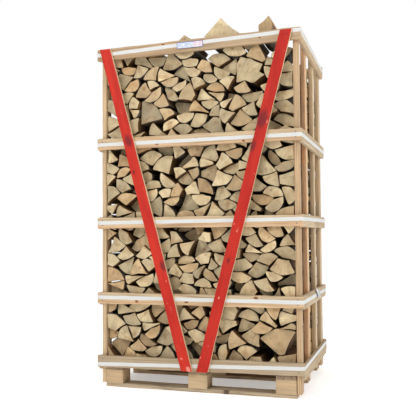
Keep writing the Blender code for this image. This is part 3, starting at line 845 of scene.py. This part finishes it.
def bent_wire(gathered, path, radius=WIRE / 2, sides=8):
    """A round wire along points, closed at both ends."""
    path = [Vector(p) for p in path]
    points = []
    for i, place in enumerate(path):
        way = (path[min(i + 1, len(path) - 1)] - path[max(i - 1, 0)]).normalized()
        side = way.cross(Vector((1.0, 0.0, 0.0)))
        side = side.normalized() if side.length > 0.1 else Vector((0.0, 1.0, 0.0))
        rise = side.cross(way).normalized()
        for k in range(sides):
            turn = 2 * math.pi * k / sides
            points.append(place + (side * math.cos(turn) + rise * math.sin(turn)) * radius)
    faces = [face[::-1] for face in tube_faces(len(path), sides)]
    faces += [list(range(sides)), [(len(path) - 1) * sides + i for i in range(sides)][::-1]]
    gathered.add(points, faces, [0] * len(faces), points, (0.5, 0.5, 0.5))


low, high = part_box("strap_buckle")
x = (low.x + high.x) / 2
bottom, top = low.z + WIRE / 2, high.z - WIRE / 2
front, back = low.y + WIRE / 2, high.y - WIRE / 2
gathered = Gathered()
bend = 0.004
loop = [(x, front + bend, bottom), (x, back - bend, bottom), (x, back, bottom + bend),
        (x, back, top - bend),
        (x, back - bend, top), (x, front + bend, top), (x, front, top - bend), (x, front, bottom + bend),
        (x, front + bend, bottom)]
bent_wire(gathered, loop)
for share in (0.36, 0.64):
    y = front + (back - front) * share
    bent_wire(gathered, [(x, y, bottom), (x, y, (bottom + top) / 2), (x, y, top)])
stand_in(gathered.make("wire_buckle", [galvanised], 60.0), "strap_buckle")

print(f"buckle of {WIRE * 1000:.1f} mm wire")

# %% [markdown]
# The label is a slip of white paper stapled over the top strap. What was printed there is left off:
# it has a thin blue border and ruled lines in two columns, like an empty form. Paper is matt, with an
# IOR near 1.5, and it has bowed a little off the rail.

# %% Label
RULE_PITCH = 0.0062
RULE_THICK = 0.42
BORDER = 0.0028
COLUMNS_MEET = 0.098


def ruled_paper(width, height):
    made, tree, shader = new_finish("ruled_label_paper", 0.7)
    grain = add(tree, "Attribute", attribute_name="grain").outputs["Vector"]
    part = add(tree, "SeparateXYZ", grain)
    rows = add(tree, "Math", part.outputs["Y"], 1 / RULE_PITCH, operation="MULTIPLY")
    row = add(tree, "Math", rows, operation="FRACT")
    rule = add(tree, "Math", row, RULE_THICK, operation="LESS_THAN")
    faint_place = add(tree, "VectorMath", grain, (60.0, 160.0, 1.0), operation="MULTIPLY")
    faint = add(tree, "TexNoise", faint_place, 1.0, 1.0)
    inked = add(tree, "Math", rule, add(tree, "MapRange", faint, 0.28, 0.46), operation="MULTIPLY")
    second = add(tree, "Math", part.outputs["X"], COLUMNS_MEET, operation="GREATER_THAN")
    ink = add(tree, "Mix", second, "#5877B2", "#BE7488", data_type="RGBA")
    ruled = add(tree, "Mix", inked, "#EEF0F6", ink, data_type="RGBA")
    edge = None
    for axis, size in (("X", width), ("Y", height)):
        middle_off = add(tree, "Math", part.outputs[axis], size / 2, operation="SUBTRACT")
        far = add(tree, "Math", middle_off, operation="ABSOLUTE")
        outer = add(tree, "Math", far, size / 2 - BORDER, operation="GREATER_THAN")
        edge = outer if edge is None else add(tree, "Math", edge, outer, operation="MAXIMUM")
    framed = add(tree, "Mix", edge, ruled, "#527298", data_type="RGBA")
    fleck = add(tree, "TexNoise", grain, 300.0, 2.0)
    shade = add(tree, "MapRange", fleck, 0.0, 1.0, 0.93, 1.05)
    feed(tree, shader, {"Base Color": add(tree, "Mix", 1.0, framed, shade, data_type="RGBA",
                                          blend_type="MULTIPLY")})
    return made


low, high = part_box("label")
LABEL_STEPS, LABEL_ROWS = 16, 5
points, grain = [], []
for face in (0, 1):
    for i in range(LABEL_STEPS + 1):
        for k in range(LABEL_ROWS + 1):
            u, v = i / LABEL_STEPS, k / LABEL_ROWS
            bow = 0.0004 * math.sin(math.pi * v) + 0.0002 * math.sin(9 * u)
            y = low.y + 0.0002 - bow if face == 0 else high.y
            points.append((low.x + (high.x - low.x) * u, max(low.y, y), low.z + (high.z - low.z) * v))
            grain.append((u * (high.x - low.x), v * (high.z - low.z), 0.0))
row, sheet = LABEL_ROWS + 1, (LABEL_ROWS + 1) * (LABEL_STEPS + 1)
faces = []
for i in range(LABEL_STEPS):
    for k in range(LABEL_ROWS):
        a = i * row + k
        faces += [[a, a + row, a + row + 1, a + 1], [sheet + a, sheet + a + 1, sheet + a + row + 1,
                                                     sheet + a + row]]
rim = [i * row for i in range(LABEL_STEPS + 1)] + [LABEL_STEPS * row + k for k in range(1, row)]
rim += [i * row + LABEL_ROWS for i in range(LABEL_STEPS - 1, -1, -1)] + [k for k in range(LABEL_ROWS - 1,
                                                                                          0, -1)]
faces += [[a, sheet + a, sheet + b, b] for a, b in zip(rim, rim[1:] + rim[:1])]
gathered = Gathered()
gathered.add(points, faces, [0] * len(faces), grain, (0.5, 0.5, 0.5))
stand_in(gathered.make("ruled_label", [ruled_paper(high.x - low.x, high.z - low.z)]), "label")
print("label", round((high.x - low.x) * 1000), "x", round((high.z - low.z) * 1000), "mm")

# %% [markdown]
# Now the firewood. A splitter opens a stem from its heart outwards, so a log's end is a slice of a
# round: two flat split sides that meet at the heart, and the bark's arc. Larger slices have the heart
# split off as well, and thin stems stay half round or whole. Each function gives the end's outline
# round the heart at (0, 0), with the corners on the bark first, and how many of those there are.

# %% Shapes of split logs
UNEVEN = 0.006


def turned(outline, angle):
    c, s = math.cos(angle), math.sin(angle)
    return np.array([(x * c - z * s, x * s + z * c) for x, z in outline])


def split_log(radius, angle, heart=0.0, turn=0.0, steps=2):
    half = math.radians(angle) / 2
    spread = [half * (2 * i / steps - 1) for i in range(steps + 1)]
    outline = [(radius * math.sin(a), radius * math.cos(a)) for a in spread]
    outline += [(radius * heart * math.sin(a), radius * heart * math.cos(a)) for a in (half, -half)]
    return turned(outline if heart else outline[:-1], math.radians(turn)), steps + 1


def round_log(radius, steps=7):
    spread = [2 * math.pi * i / steps for i in range(steps)]
    return np.array([(radius * math.cos(a), radius * math.sin(a)) for a in spread]), steps


def any_log(rng):
    """Draw a log of the sizes that a splitter makes from stems 20 to 30 cm thick. A split runs
    along the fibre, so its corners are a few millimetres off a true slice's."""
    pick = rng.random()
    if pick < 0.28:
        outline, bark = split_log(rng.uniform(0.095, 0.145), rng.uniform(48, 80))
    elif pick < 0.44:
        outline, bark = split_log(rng.uniform(0.073, 0.103), rng.uniform(80, 115), steps=3)
    elif pick < 0.66:
        outline, bark = split_log(rng.uniform(0.105, 0.152), rng.uniform(38, 66), rng.uniform(0.25, 0.55))
    elif pick < 0.76:
        outline, bark = split_log(rng.uniform(0.050, 0.066), rng.uniform(150, 175), steps=4)
    elif pick < 0.775:
        return round_log(rng.uniform(0.028, 0.042))
    elif pick < 0.90:
        outline, bark = split_log(rng.uniform(0.090, 0.132), rng.uniform(24, 40), rng.uniform(0.0, 0.35))
    else:
        outline, bark = split_log(rng.uniform(0.056, 0.082), rng.uniform(55, 90))
    return outline + np.array([[rng.uniform(-UNEVEN, UNEVEN) for _ in range(2)] for _ in outline]), bark


def heart_up_log(left, right, height):
    """A log lying on its bark. Its two split faces meet in an edge on top, and left and right are
    the corners where they end, measured from that edge."""
    return np.array(((left[0], height + left[1]), (0.75 * left[0], 0.14 * height), (0.0, 0.0),
                     (0.75 * right[0], 0.14 * height), (right[0], height + right[1]), (0.0, height))), 5


def notched_log():
    """The large log near the top with a deep notch in its right side."""
    return np.array(((0.0, 0.0), (0.05, 0.01), (0.10, -0.012), (0.165, 0.03),
                     (0.13, 0.05), (0.155, 0.09), (0.09, 0.125), (0.03, 0.145), (0.005, 0.10))), 3


# %% [markdown]
# The logs lie in three rows, front to back. Nobody places a thousand logs by hand, so the rows
# are stacked as a worker would: try some logs on top of what lies there, in several turns,
# take the one that sinks lowest and leaves the least air under it, and go on until the frame is full.
# A slot too narrow for a log stays open, and the next logs bridge it. A few logs that stand out in
# the front are listed and placed one by one, when the pile has come up to them. The drawing is seeded,
# so the pile is the same each time and fits the frame's solids.

# %% The pile's limits and the logs that are placed one by one
MIDDLE = Vector((0.60215, 0.43635, 0.0))
PILE_LEFT, PILE_RIGHT, PILE_BOTTOM, PILE_TOP = 0.047, 1.150, 0.1386, 1.968
PILE_DROP, DROP_START = 0.085, 0.95
COLUMN = 0.004
BRIDGED = 7
WALL_SLOT = 13
LOG_LENGTH, ROW_GAP, FIRST_ROW, END_SPREAD = 0.270, 0.010, 0.0315, 0.006
HAND_PLACED = (
    (notched_log(), 0.915, 1.790),
    (split_log(0.140, 78, 0.0, -40), 0.325, 1.614),
    (split_log(0.110, 88, 0.0, 30, 3), 0.388, 1.301),
    (split_log(0.165, 76, 0.15, 12), 1.050, 0.300),
    (heart_up_log((-0.095, -0.101), (0.107, -0.095), 0.168), 0.751, 2.012),
    (heart_up_log((-0.057, -0.048), (0.024, -0.057), 0.160), 0.996, 2.000),
    (heart_up_log((-0.062, -0.050), (0.062, -0.046), 0.079), 0.533, 1.967),
)
ROWS = (("firewood_front", 137, HAND_PLACED), ("firewood_middle", 16, ()), ("firewood_rear", 10, ()))
print(len(HAND_PLACED), "logs placed by hand in the front row")


# %% Stacking a row
def skyline(outline):
    """The lowest and the highest z of an outline in each column from its left end."""
    after = np.roll(outline, -1, axis=0)
    steps = np.arange(0, 1.0001, 0.02)
    x = (outline[:, :1] + (after - outline)[:, :1] * steps).ravel()
    z = (outline[:, 1:] + (after - outline)[:, 1:] * steps).ravel()
    column = np.floor(x / COLUMN + 1e-6).astype(int)
    low = np.full(column.max() + 1, np.inf)
    high = -low
    np.minimum.at(low, column, z)
    np.maximum.at(high, column, z)
    return low, high


def windows(values, width):
    return np.lib.stride_tricks.sliding_window_view(values, width)


def bridged(surface, width=BRIDGED):
    """The surface with the slots filled that are narrower than width columns, an odd number."""
    edge = width // 2
    over = windows(np.pad(surface, edge, constant_values=surface.max() + 0.1), width).max(axis=1)
    return windows(np.pad(over, edge, constant_values=9.0), width).min(axis=1)


def slots(surface, width=13):
    """The area of the surface's slots that are too narrow for a log."""
    return float(np.clip(bridged(surface, width) - surface, 0, 0.12).sum() * COLUMN)


def try_logs(rng, surface, roof, draws=8, turns=8, air=1.0, lift=1.5):
    """Each drawn log in each turn, at the place where it costs least. A log near a wall touches
    it, or leaves room there for another log."""
    trials = []
    for _ in range(draws):
        drawn, bark = any_log(rng)
        start = rng.uniform(0, 2 * math.pi)
        for turn in range(turns):
            shape = turned(drawn, start + 2 * math.pi * turn / turns)
            corner = shape.min(axis=0)
            shape = shape - corner
            low, high = skyline(shape)
            under = windows(surface, len(low))
            z = (under - low).max(axis=1)
            area = (high - low).sum() * COLUMN
            void = (z[:, None] + low - under).sum(axis=1) * COLUMN
            fits = (z[:, None] + high <= windows(roof, len(low))).all(axis=1)
            cost = air * void / area + lift * (z + high.mean() - surface.min()) / 0.1
            cost = np.where(fits, cost, np.inf)
            cost[1:WALL_SLOT] = cost[-WALL_SLOT:-1] = np.inf
            at = int(cost.argmin())
            if cost[at] < math.inf:
                log = (shape, -corner, bark)
                trials.append((cost[at], len(trials), area, log, low, high, at, z[at]))
    return sorted(trials, key=lambda trial: trial[:2])


def best_trial(trials, surface, kept=14, slot=2.0):
    """Of the cheapest trials, the one that leaves the fewest narrow slots."""
    best = None
    for cost, _, area, log, low, high, at, z in trials[:kept]:
        after = surface.copy()
        after[at:at + len(low)] = np.maximum(after[at:at + len(low)], z + high)
        cost += slot * slots(after) / area
        if best is None or cost < best[0]:
            best = (cost, log, low, high, at, z)
    return best[1:]


def stack_logs(seed, marks):
    """A row of logs, each as its outline, its heart and how many of its corners lie on the bark."""
    rng = random.Random(seed)
    columns = int((PILE_RIGHT - PILE_LEFT) / COLUMN)
    surface = np.full(columns, PILE_BOTTOM)
    xs = PILE_LEFT + COLUMN * (np.arange(columns) + 0.5)
    limit = PILE_TOP - PILE_DROP * np.maximum(0.0, (xs - DROP_START) / (PILE_RIGHT - DROP_START))
    waiting = []
    for (outline, bark), x, z in marks:
        corner = outline.min(axis=0)
        shape = outline - corner
        size = shape.max(axis=0)
        low, high = skyline(shape)
        at = int(round((x - size[0] / 2 - PILE_LEFT) / COLUMN))
        at = min(max(at, 0), columns - len(low))
        waiting.append((z - size[1] / 2, (shape, -corner, bark), low, high, at))
    logs = []
    while True:
        roof = limit.copy()
        for z, _, low, _, at in waiting:
            span = slice(at, at + len(low))
            roof[span] = np.minimum(roof[span], z + low + 0.012)
        trials = try_logs(rng, surface, roof)
        ready = []
        for mark in waiting:
            z, _, low, _, at = mark
            rest = (surface[at:at + len(low)] - low).max()
            if rest >= z - 0.03 or not trials:
                ready.append((rest, at, mark))
        if ready:
            z, at, mark = min(ready, key=lambda item: item[:2])
            waiting = [other for other in waiting if other is not mark]
            log, low, high = mark[1:4]
        elif trials:
            log, low, high, at, z = best_trial(trials, surface)
        else:
            break
        span = slice(at, at + len(low))
        surface[span] = np.maximum(surface[span], z + high)
        surface = np.maximum(surface, bridged(surface))
        place = np.array((PILE_LEFT + at * COLUMN, z))
        shape, heart, bark = log
        logs.append((shape + place, heart + place, bark))
    return logs


PILES = {name: stack_logs(seed, marks) for name, seed, marks in ROWS}
print("logs in the rows:", {name: len(logs) for name, logs in PILES.items()})

# %% [markdown]
# Hornbeam is a dense, pale wood. A sawn end shows faint wavy rings round the heart, fine rays from the
# heart outwards, the saw's lines across, and often a drying check or two that opens along a ray. The
# ends of one load differ: cream, honey, orange or grey. The split sides show long silky fibres and
# are darker honey, and the bark is smooth and grey. Inside the pile, away from the walls and the top,
# both are painted a darker brown: painted shade for the gaps between logs. Rings are drawn 5 mm wide
# and rays 3 mm, about twice the real ones. All are rough, with the IOR of wood fibre.

# %% Hornbeam
YEAR = 0.005
RAY_LINES = 22.0


def shared_parts(tree):
    """The place round the heart, the place from a knot, the log's own shift of noise and its tones."""
    names = ("grain", "tone", "mark")
    grain, tone, mark = [add(tree, "Attribute", attribute_name=name).outputs["Vector"] for name in names]
    seed = add(tree, "VectorMath", tone, (37.0, 53.0, 71.0), operation="MULTIPLY")
    return grain, mark, seed, list(add(tree, "SeparateXYZ", tone).outputs)


def hornbeam_end():
    made, tree, shader = new_finish("hornbeam_sawn_end", 0.8)
    grain, mark, seed, tones = shared_parts(tree)
    flat = add(tree, "VectorMath", grain, (0.0, 1.0, 1.0), operation="MULTIPLY")
    reach = add(tree, "VectorMath", flat, operation="LENGTH")
    way = add(tree, "VectorMath", flat, operation="NORMALIZE")
    noises = []
    for place, stretch, detail in ((flat, (1.0, 34.0, 34.0), 2.0),
                                   (way, (1.0, RAY_LINES, RAY_LINES), 3.0),
                                   (flat, (1.0, 26.0, 26.0), 3.0),
                                   (flat, (1.0, 420.0, 420.0), 2.0),
                                   (flat, (1.0, 13.0, 13.0), 1.0),
                                   (way, (1.0, 3.1, 3.1), 1.0), (way, (1.0, 1.7, 1.7), 1.0),
                                   (flat, (1.0, 60.0, 900.0), 1.0)):
        moved = add(tree, "VectorMath", place, stretch, seed, operation="MULTIPLY_ADD")
        noises.append(add(tree, "TexNoise", moved, 1.0, detail))
    wavy, ray, cloud, fine, patch, line, open_far, sawn = noises
    bowed = add(tree, "Math", wavy, 2.6 * YEAR, reach, operation="MULTIPLY_ADD")
    turn = add(tree, "Math", bowed, 2 * math.pi / YEAR, operation="MULTIPLY")
    ring = add(tree, "Math", turn, operation="SINE")
    warm = add(tree, "MapRange", tones[0], 0.55, 1.0, 0.0, 0.85)
    base = add(tree, "Mix", warm, "#DFCAA0", "#C9A475", data_type="RGBA")
    grey = add(tree, "MapRange", tones[1], 0.86, 1.0, 0.0, 0.65)
    aged = add(tree, "Mix", grey, base, "#A8977A", data_type="RGBA")
    heart = add(tree, "MapRange", reach, 0.01, 0.055, 0.35, 0.0)
    cored = add(tree, "Mix", heart, aged, "#B58A58", data_type="RGBA")
    colour = add(tree, "Mix", add(tree, "MapRange", cloud, 0.5, 0.72, 0.0, 0.6), cored, "#A47C4C",
                  data_type="RGBA")
    factors = (add(tree, "MapRange", ring, -1.0, 1.0, 0.92, 1.04),
               add(tree, "MapRange", ray, 0.3, 0.7, 0.84, 1.11),
               add(tree, "MapRange", fine, 0.3, 0.7, 0.9, 1.08),
               add(tree, "MapRange", patch, 0.3, 0.7, 0.8, 1.12),
               add(tree, "MapRange", tones[2], 0.0, 1.0, 0.69, 1.04))
    for factor in factors:
        colour = add(tree, "Mix", 1.0, colour, factor, data_type="RGBA", blend_type="MULTIPLY")
    # An open drying check is drawn dark brown along its line: painted shade in the crack.
    middle_line = add(tree, "Math", line, 0.5, operation="SUBTRACT")
    near = add(tree, "Math", middle_line, operation="ABSOLUTE")
    check = add(tree, "MapRange", near, 0.002, 0.006, 1.0, 0.0)
    opened = add(tree, "Math", check, add(tree, "MapRange", open_far, 0.56, 0.64, 0.0, 0.8),
                 operation="MULTIPLY")
    cracked = add(tree, "Mix", opened, colour, "#6A4C30", data_type="RGBA")
    beside = add(tree, "VectorMath", mark, (1.0, 1.0, 0.0), operation="MULTIPLY")
    off = add(tree, "VectorMath", beside, operation="LENGTH")
    knotted = add(tree, "Mix", add(tree, "MapRange", off, 0.4, 1.3, 0.65, 0.0), cracked, "#8A5F3C",
                  data_type="RGBA")
    relief = add(tree, "Math", opened, -2.0, sawn, operation="MULTIPLY_ADD")
    feed(tree, shader, {"Base Color": knotted, "Normal": add(tree, "Bump", Strength=0.5, Distance=0.0008,
                                                             Height=relief)})
    return made


def hornbeam_split():
    made, tree, shader = new_finish("hornbeam_split_side", 0.75)
    grain, mark, seed, tones = shared_parts(tree)
    faces_out = add(tree, "SeparateXYZ", mark).outputs["Z"]
    noises = []
    for place, stretch, detail in ((grain, (5.0, 160.0, 160.0), 3.0),
                                   (grain, (3.0, 34.0, 34.0), 2.0)):
        moved = add(tree, "VectorMath", place, stretch, seed, operation="MULTIPLY_ADD")
        noises.append(add(tree, "TexNoise", moved, 1.0, detail))
    long_ones, broad = noises
    # Split sides inside the pile get a darker brown than those that face out: painted shade for the gaps
    # between logs.
    dust_and_painted_shade = add(tree, "Mix", tones[0], "#7E5D30", "#573819", data_type="RGBA")
    open_face_colour = add(tree, "Mix", tones[0], "#C6A26E", "#A67B4A", data_type="RGBA")
    base = add(tree, "Mix", faces_out, dust_and_painted_shade, open_face_colour, data_type="RGBA")
    colour = add(tree, "Mix", add(tree, "MapRange", tones[1], 0.72, 1.0, 0.0, 0.6), base, "#7E6E57",
                 data_type="RGBA")
    for factor in (add(tree, "MapRange", long_ones, 0.3, 0.7, 0.78, 1.14),
                   add(tree, "MapRange", broad, 0.3, 0.7, 0.88, 1.1),
                   add(tree, "MapRange", tones[2], 0.0, 1.0, 0.88, 1.08)):
        colour = add(tree, "Mix", 1.0, colour, factor, data_type="RGBA", blend_type="MULTIPLY")
    relief = add(tree, "Math", broad, 2.5, long_ones, operation="MULTIPLY_ADD")
    feed(tree, shader, {"Base Color": colour, "Normal": add(tree, "Bump", Strength=0.7, Distance=0.0014,
                                                            Height=relief)})
    return made


def hornbeam_bark():
    made, tree, shader = new_finish("hornbeam_bark", 0.85)
    grain, mark, seed, tones = shared_parts(tree)
    faces_out = add(tree, "SeparateXYZ", mark).outputs["Z"]
    noises = []
    for place, stretch, detail in ((grain, (9.0, 70.0, 70.0), 3.0),
                                   (grain, (22.0, 30.0, 30.0), 3.0)):
        moved = add(tree, "VectorMath", place, stretch, seed, operation="MULTIPLY_ADD")
        noises.append(add(tree, "TexNoise", moved, 1.0, detail))
    streak, lichen = noises
    # Bark inside the pile is drawn dark brown and bark that faces out grey: the dark is painted shade for
    # the gaps between logs.
    dust_and_painted_shade = add(tree, "Mix", add(tree, "MapRange", streak, 0.35, 0.65, 0.0, 1.0), "#221910", "#41352A",
                data_type="RGBA")
    base = add(tree, "Mix", faces_out, dust_and_painted_shade, "#6F6353", data_type="RGBA")
    paler = add(tree, "Mix", add(tree, "MapRange", lichen, 0.54, 0.68, 0.0, 0.7), base, "#847A66",
                data_type="RGBA")
    peeled = add(tree, "Mix", add(tree, "MapRange", lichen, 0.4, 0.32, 0.0, 0.9), paler, "#5A3E24",
                 data_type="RGBA")
    colour = add(tree, "Mix", 1.0, peeled, add(tree, "MapRange", tones[2], 0.0, 1.0, 0.8, 1.15),
                 data_type="RGBA", blend_type="MULTIPLY")
    relief = add(tree, "Math", streak, 1.5, lichen, operation="MULTIPLY_ADD")
    feed(tree, shader, {"Base Color": colour, "Normal": add(tree, "Bump", Strength=0.7, Distance=0.0012,
                                                            Height=relief)})
    return made


HORNBEAM = [hornbeam_end(), hornbeam_split(), hornbeam_bark()]
print("hornbeam: end, split side and bark")

# %% [markdown]
# A log is a tube along y with a ring of some thirty points. Its outline comes from the pile. The
# bark's corners are rounded back to an arc, the split sides are bent a little in or out, and a log is
# never quite straight: it twists, tapers and bows by a few millimetres. The saw's cut at the ends is
# flat and slightly askew, with an arris of a millimetre or two. Half of the ends lie within 6 mm of
# the frame's, and the rest are shorter logs, so their ends lie deeper and in shade.

# %% Log meshes
LOG_STEP = 0.0125
WALLS = (0.0458, 1.1542)
WALL_REACH, WALL_SLACK = 0.022, 0.15
OPEN_BESIDE, OPEN_ABOVE = 0.012, 1.90
# The logs that rise over the top rail: their places from the left, and how far back each one lies
ABOVE_RAIL = 1.99
ON_TOP = ((0.533, 0.0), (0.751, 0.0), (0.996, 0.045))
STATIONS = (0.0, 0.0016, 0.055, 0.135, 0.215, 0.2684, 0.270)
DEPTHS = ((0.50, 0.0, 0.0), (0.80, 0.006, 0.026), (0.935, 0.026, 0.055), (1.01, 0.055, 0.100))


def log_outline(outline, bark, rng):
    """The outline at finer steps: points, and for each edge that starts there, 2 on bark or 1."""
    area = sum(a[0] * b[1] - a[1] * b[0] for a, b in zip(outline, np.roll(outline, -1, axis=0)))
    kinds = [2 if i < bark - 1 or bark == len(outline) else 1 for i in range(len(outline))]
    if area < 0:
        outline, kinds = outline[::-1], kinds[-2::-1] + kinds[-1:]
    points, edges = [], []
    for i, (a, b) in enumerate(zip(outline, np.roll(outline, -1, axis=0))):
        way = b - a
        length = float(np.hypot(*way))
        out = np.array((way[1], -way[0])) / max(length, 1e-9)
        bow = 0.035 if kinds[i] == 2 else rng.uniform(-0.075, 0.012)
        steps = max(1, round(length / LOG_STEP))
        for k in range(steps):
            share = k / steps
            points.append(a + way * share + out * (4 * bow * length * share * (1 - share)))
            edges.append(kinds[i])
    points = np.array(points)
    softer = 0.3 * (np.roll(points, 1, axis=0) + np.roll(points, -1, axis=0)) + 0.4 * points
    pairs = zip(edges, np.roll(edges, 1))
    keep = np.array([0.25 if a == 1 and b == 1 else 0.5 for a, b in pairs])[:, None]
    return points * (1 - keep) + softer * keep, edges


def against_walls(outline):
    """The outline with the corners that nearly reach a wall moved almost on to it."""
    x = outline[:, 0]
    for wall in WALLS:
        x = np.where(abs(x - wall) < WALL_REACH, wall + WALL_SLACK * (x - wall), x)
    return np.stack((x, outline[:, 1]), axis=1)


def how_open(place):
    """How much each point faces out of the crate, at a wall or on top: 0 for in the pile, to 1. The log
    shaders paint shade on the points in the pile.
    """
    beside = np.min([abs(place[:, 0] - wall) for wall in WALLS], axis=0)
    return np.maximum(np.clip((OPEN_BESIDE - beside) / 0.006, 0, 1),
                      np.clip((place[:, 1] - OPEN_ABOVE) / 0.03, 0, 1))


# How far the saw's edge is worn off a log's end, beside bark and beside a split side
BARK_ARRIS, SPLIT_ARRIS = 0.0016, 0.0007


def how_deep(rng):
    pick = rng.random()
    least, most = next((low, high) for share, low, high in DEPTHS if pick < share)
    return rng.uniform(least, most)


def add_log(gathered, outline, heart, bark, front, back, seed, box):
    rng = random.Random(seed)
    ring, edges = log_outline(against_walls(outline), bark, rng)
    count = len(ring)
    middle_of_log = ring.mean(axis=0)
    twist, taper = math.radians(rng.uniform(-3, 3)), rng.uniform(-0.02, 0.0)
    bow = np.array((rng.uniform(-0.002, 0.002), rng.uniform(-0.002, 0.002)))
    lean = [np.array((rng.uniform(-0.05, 0.05), rng.uniform(-0.05, 0.05))) for _ in range(2)]
    ripple = [wander(rng, (0.19, 0.08)) for _ in range(3)]
    phase = rng.uniform(0, 9)
    tone = (rng.random(), rng.random(), rng.random())
    log_start = rng.uniform(0, 9)
    knot = None
    if rng.random() < 0.05:
        knot = ring[rng.randrange(count)] * 0.35 + middle_of_log * 0.65
        knot_size = rng.uniform(0.006, 0.012)
    points, grain, mark = [], [], []
    angles = np.linspace(0, 2 * math.pi, count, endpoint=False)
    length = back - front
    for s, u in enumerate(STATIONS):
        share = u / LOG_LENGTH
        spin = twist * (share - 0.5)
        size = 1 + taper * share if tone[0] < 0.5 else 1 + taper * (1 - share)
        shape = (ring - middle_of_log) * size
        c, sn = math.cos(spin), math.sin(spin)
        shape = np.stack((shape[:, 0] * c - shape[:, 1] * sn, shape[:, 0] * sn + shape[:, 1] * c), axis=1)
        reach = np.maximum(np.hypot(shape[:, 0], shape[:, 1]), 0.004)[:, None]
        waves = sum(np.sin(angles * (2 + 3 * k) + phase * (k + 1)) * float(line(u))
                    for k, line in enumerate(ripple))
        shape = shape + shape / reach * (0.0007 * (1.1 - waves))[:, None]
        shape = shape + bow * math.sin(math.pi * share)
        if s in (0, len(STATIONS) - 1):
            by_bark = [2 in (edges[i], edges[i - 1]) for i in range(count)]
            arris = np.where(by_bark, BARK_ARRIS, SPLIT_ARRIS)[:, None]
            shape = shape - shape / reach * np.minimum(arris, 0.3 * reach)
        end = 0 if s < len(STATIONS) / 2 else 1
        near_end = s < 2 or s > len(STATIONS) - 3
        cut = shape @ lean[end] if near_end else np.zeros(count)
        cut = cut - (cut.min() if end == 0 else cut.max())
        y = front + (length - LOG_LENGTH) * share + u + cut
        place = shape + middle_of_log
        points.append(np.stack((place[:, 0], y, place[:, 1]), axis=1))
        grain.append(np.stack((y + log_start, place[:, 0] - heart[0], place[:, 1] - heart[1]), axis=1))
        off = np.full((count, 2), 9.0) if knot is None else (place - knot) / knot_size
        mark.append(np.column_stack((off, how_open(place))))
    faces = [face[::-1] for face in tube_faces(len(STATIONS), count)]
    finishes = edges * (len(STATIONS) - 1)
    last = (len(STATIONS) - 1) * count
    faces += [list(range(count)), [last + i for i in range(count)][::-1]]
    points, mark, grain = np.concatenate(points), np.concatenate(mark), np.concatenate(grain)
    points = np.clip(points - np.array(MIDDLE), *box)
    gathered.add(points, faces, finishes + [0, 0], grain, tone, mark)


def build_row(row, name):
    front = FIRST_ROW + row * (LOG_LENGTH + ROW_GAP)
    low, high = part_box(name)
    spread = random.Random(ROWS[row][1] + 100)
    gathered = Gathered()
    for i, (outline, heart, bark) in enumerate(PILES[name]):
        offsets = [spread.uniform(-END_SPREAD, END_SPREAD) for _ in range(2)]
        rng = random.Random(f"{name} {i}")
        deep = how_deep(rng)
        if row == 0 and outline[:, 1].max() > ABOVE_RAIL:
            deep = min(ON_TOP, key=lambda place: abs(place[0] - outline[:, 0].mean()))[1]
        near = front + (offsets[0] if row == 0 else 0.0) + deep
        far = front + LOG_LENGTH + (offsets[1] if row == 2 else 0.0) - how_deep(rng)
        add_log(gathered, outline, heart, bark, near, far, f"{name} {i}", (low, high))
    piece = gathered.make(f"split_{name}", HORNBEAM, 40.0)
    corners = np.array([v.co for v in piece.data.vertices])
    print(name, len(PILES[name]), "logs, reach", (corners.min(axis=0) - low).round(4),
          (high - Vector(corners.max(axis=0))))
    stand_in(piece, name)
    return piece


for row, (name, _, _) in enumerate(ROWS):
    piece = build_row(row, name)
    print("triangles", sum(len(face.vertices) - 2 for face in piece.data.polygons))
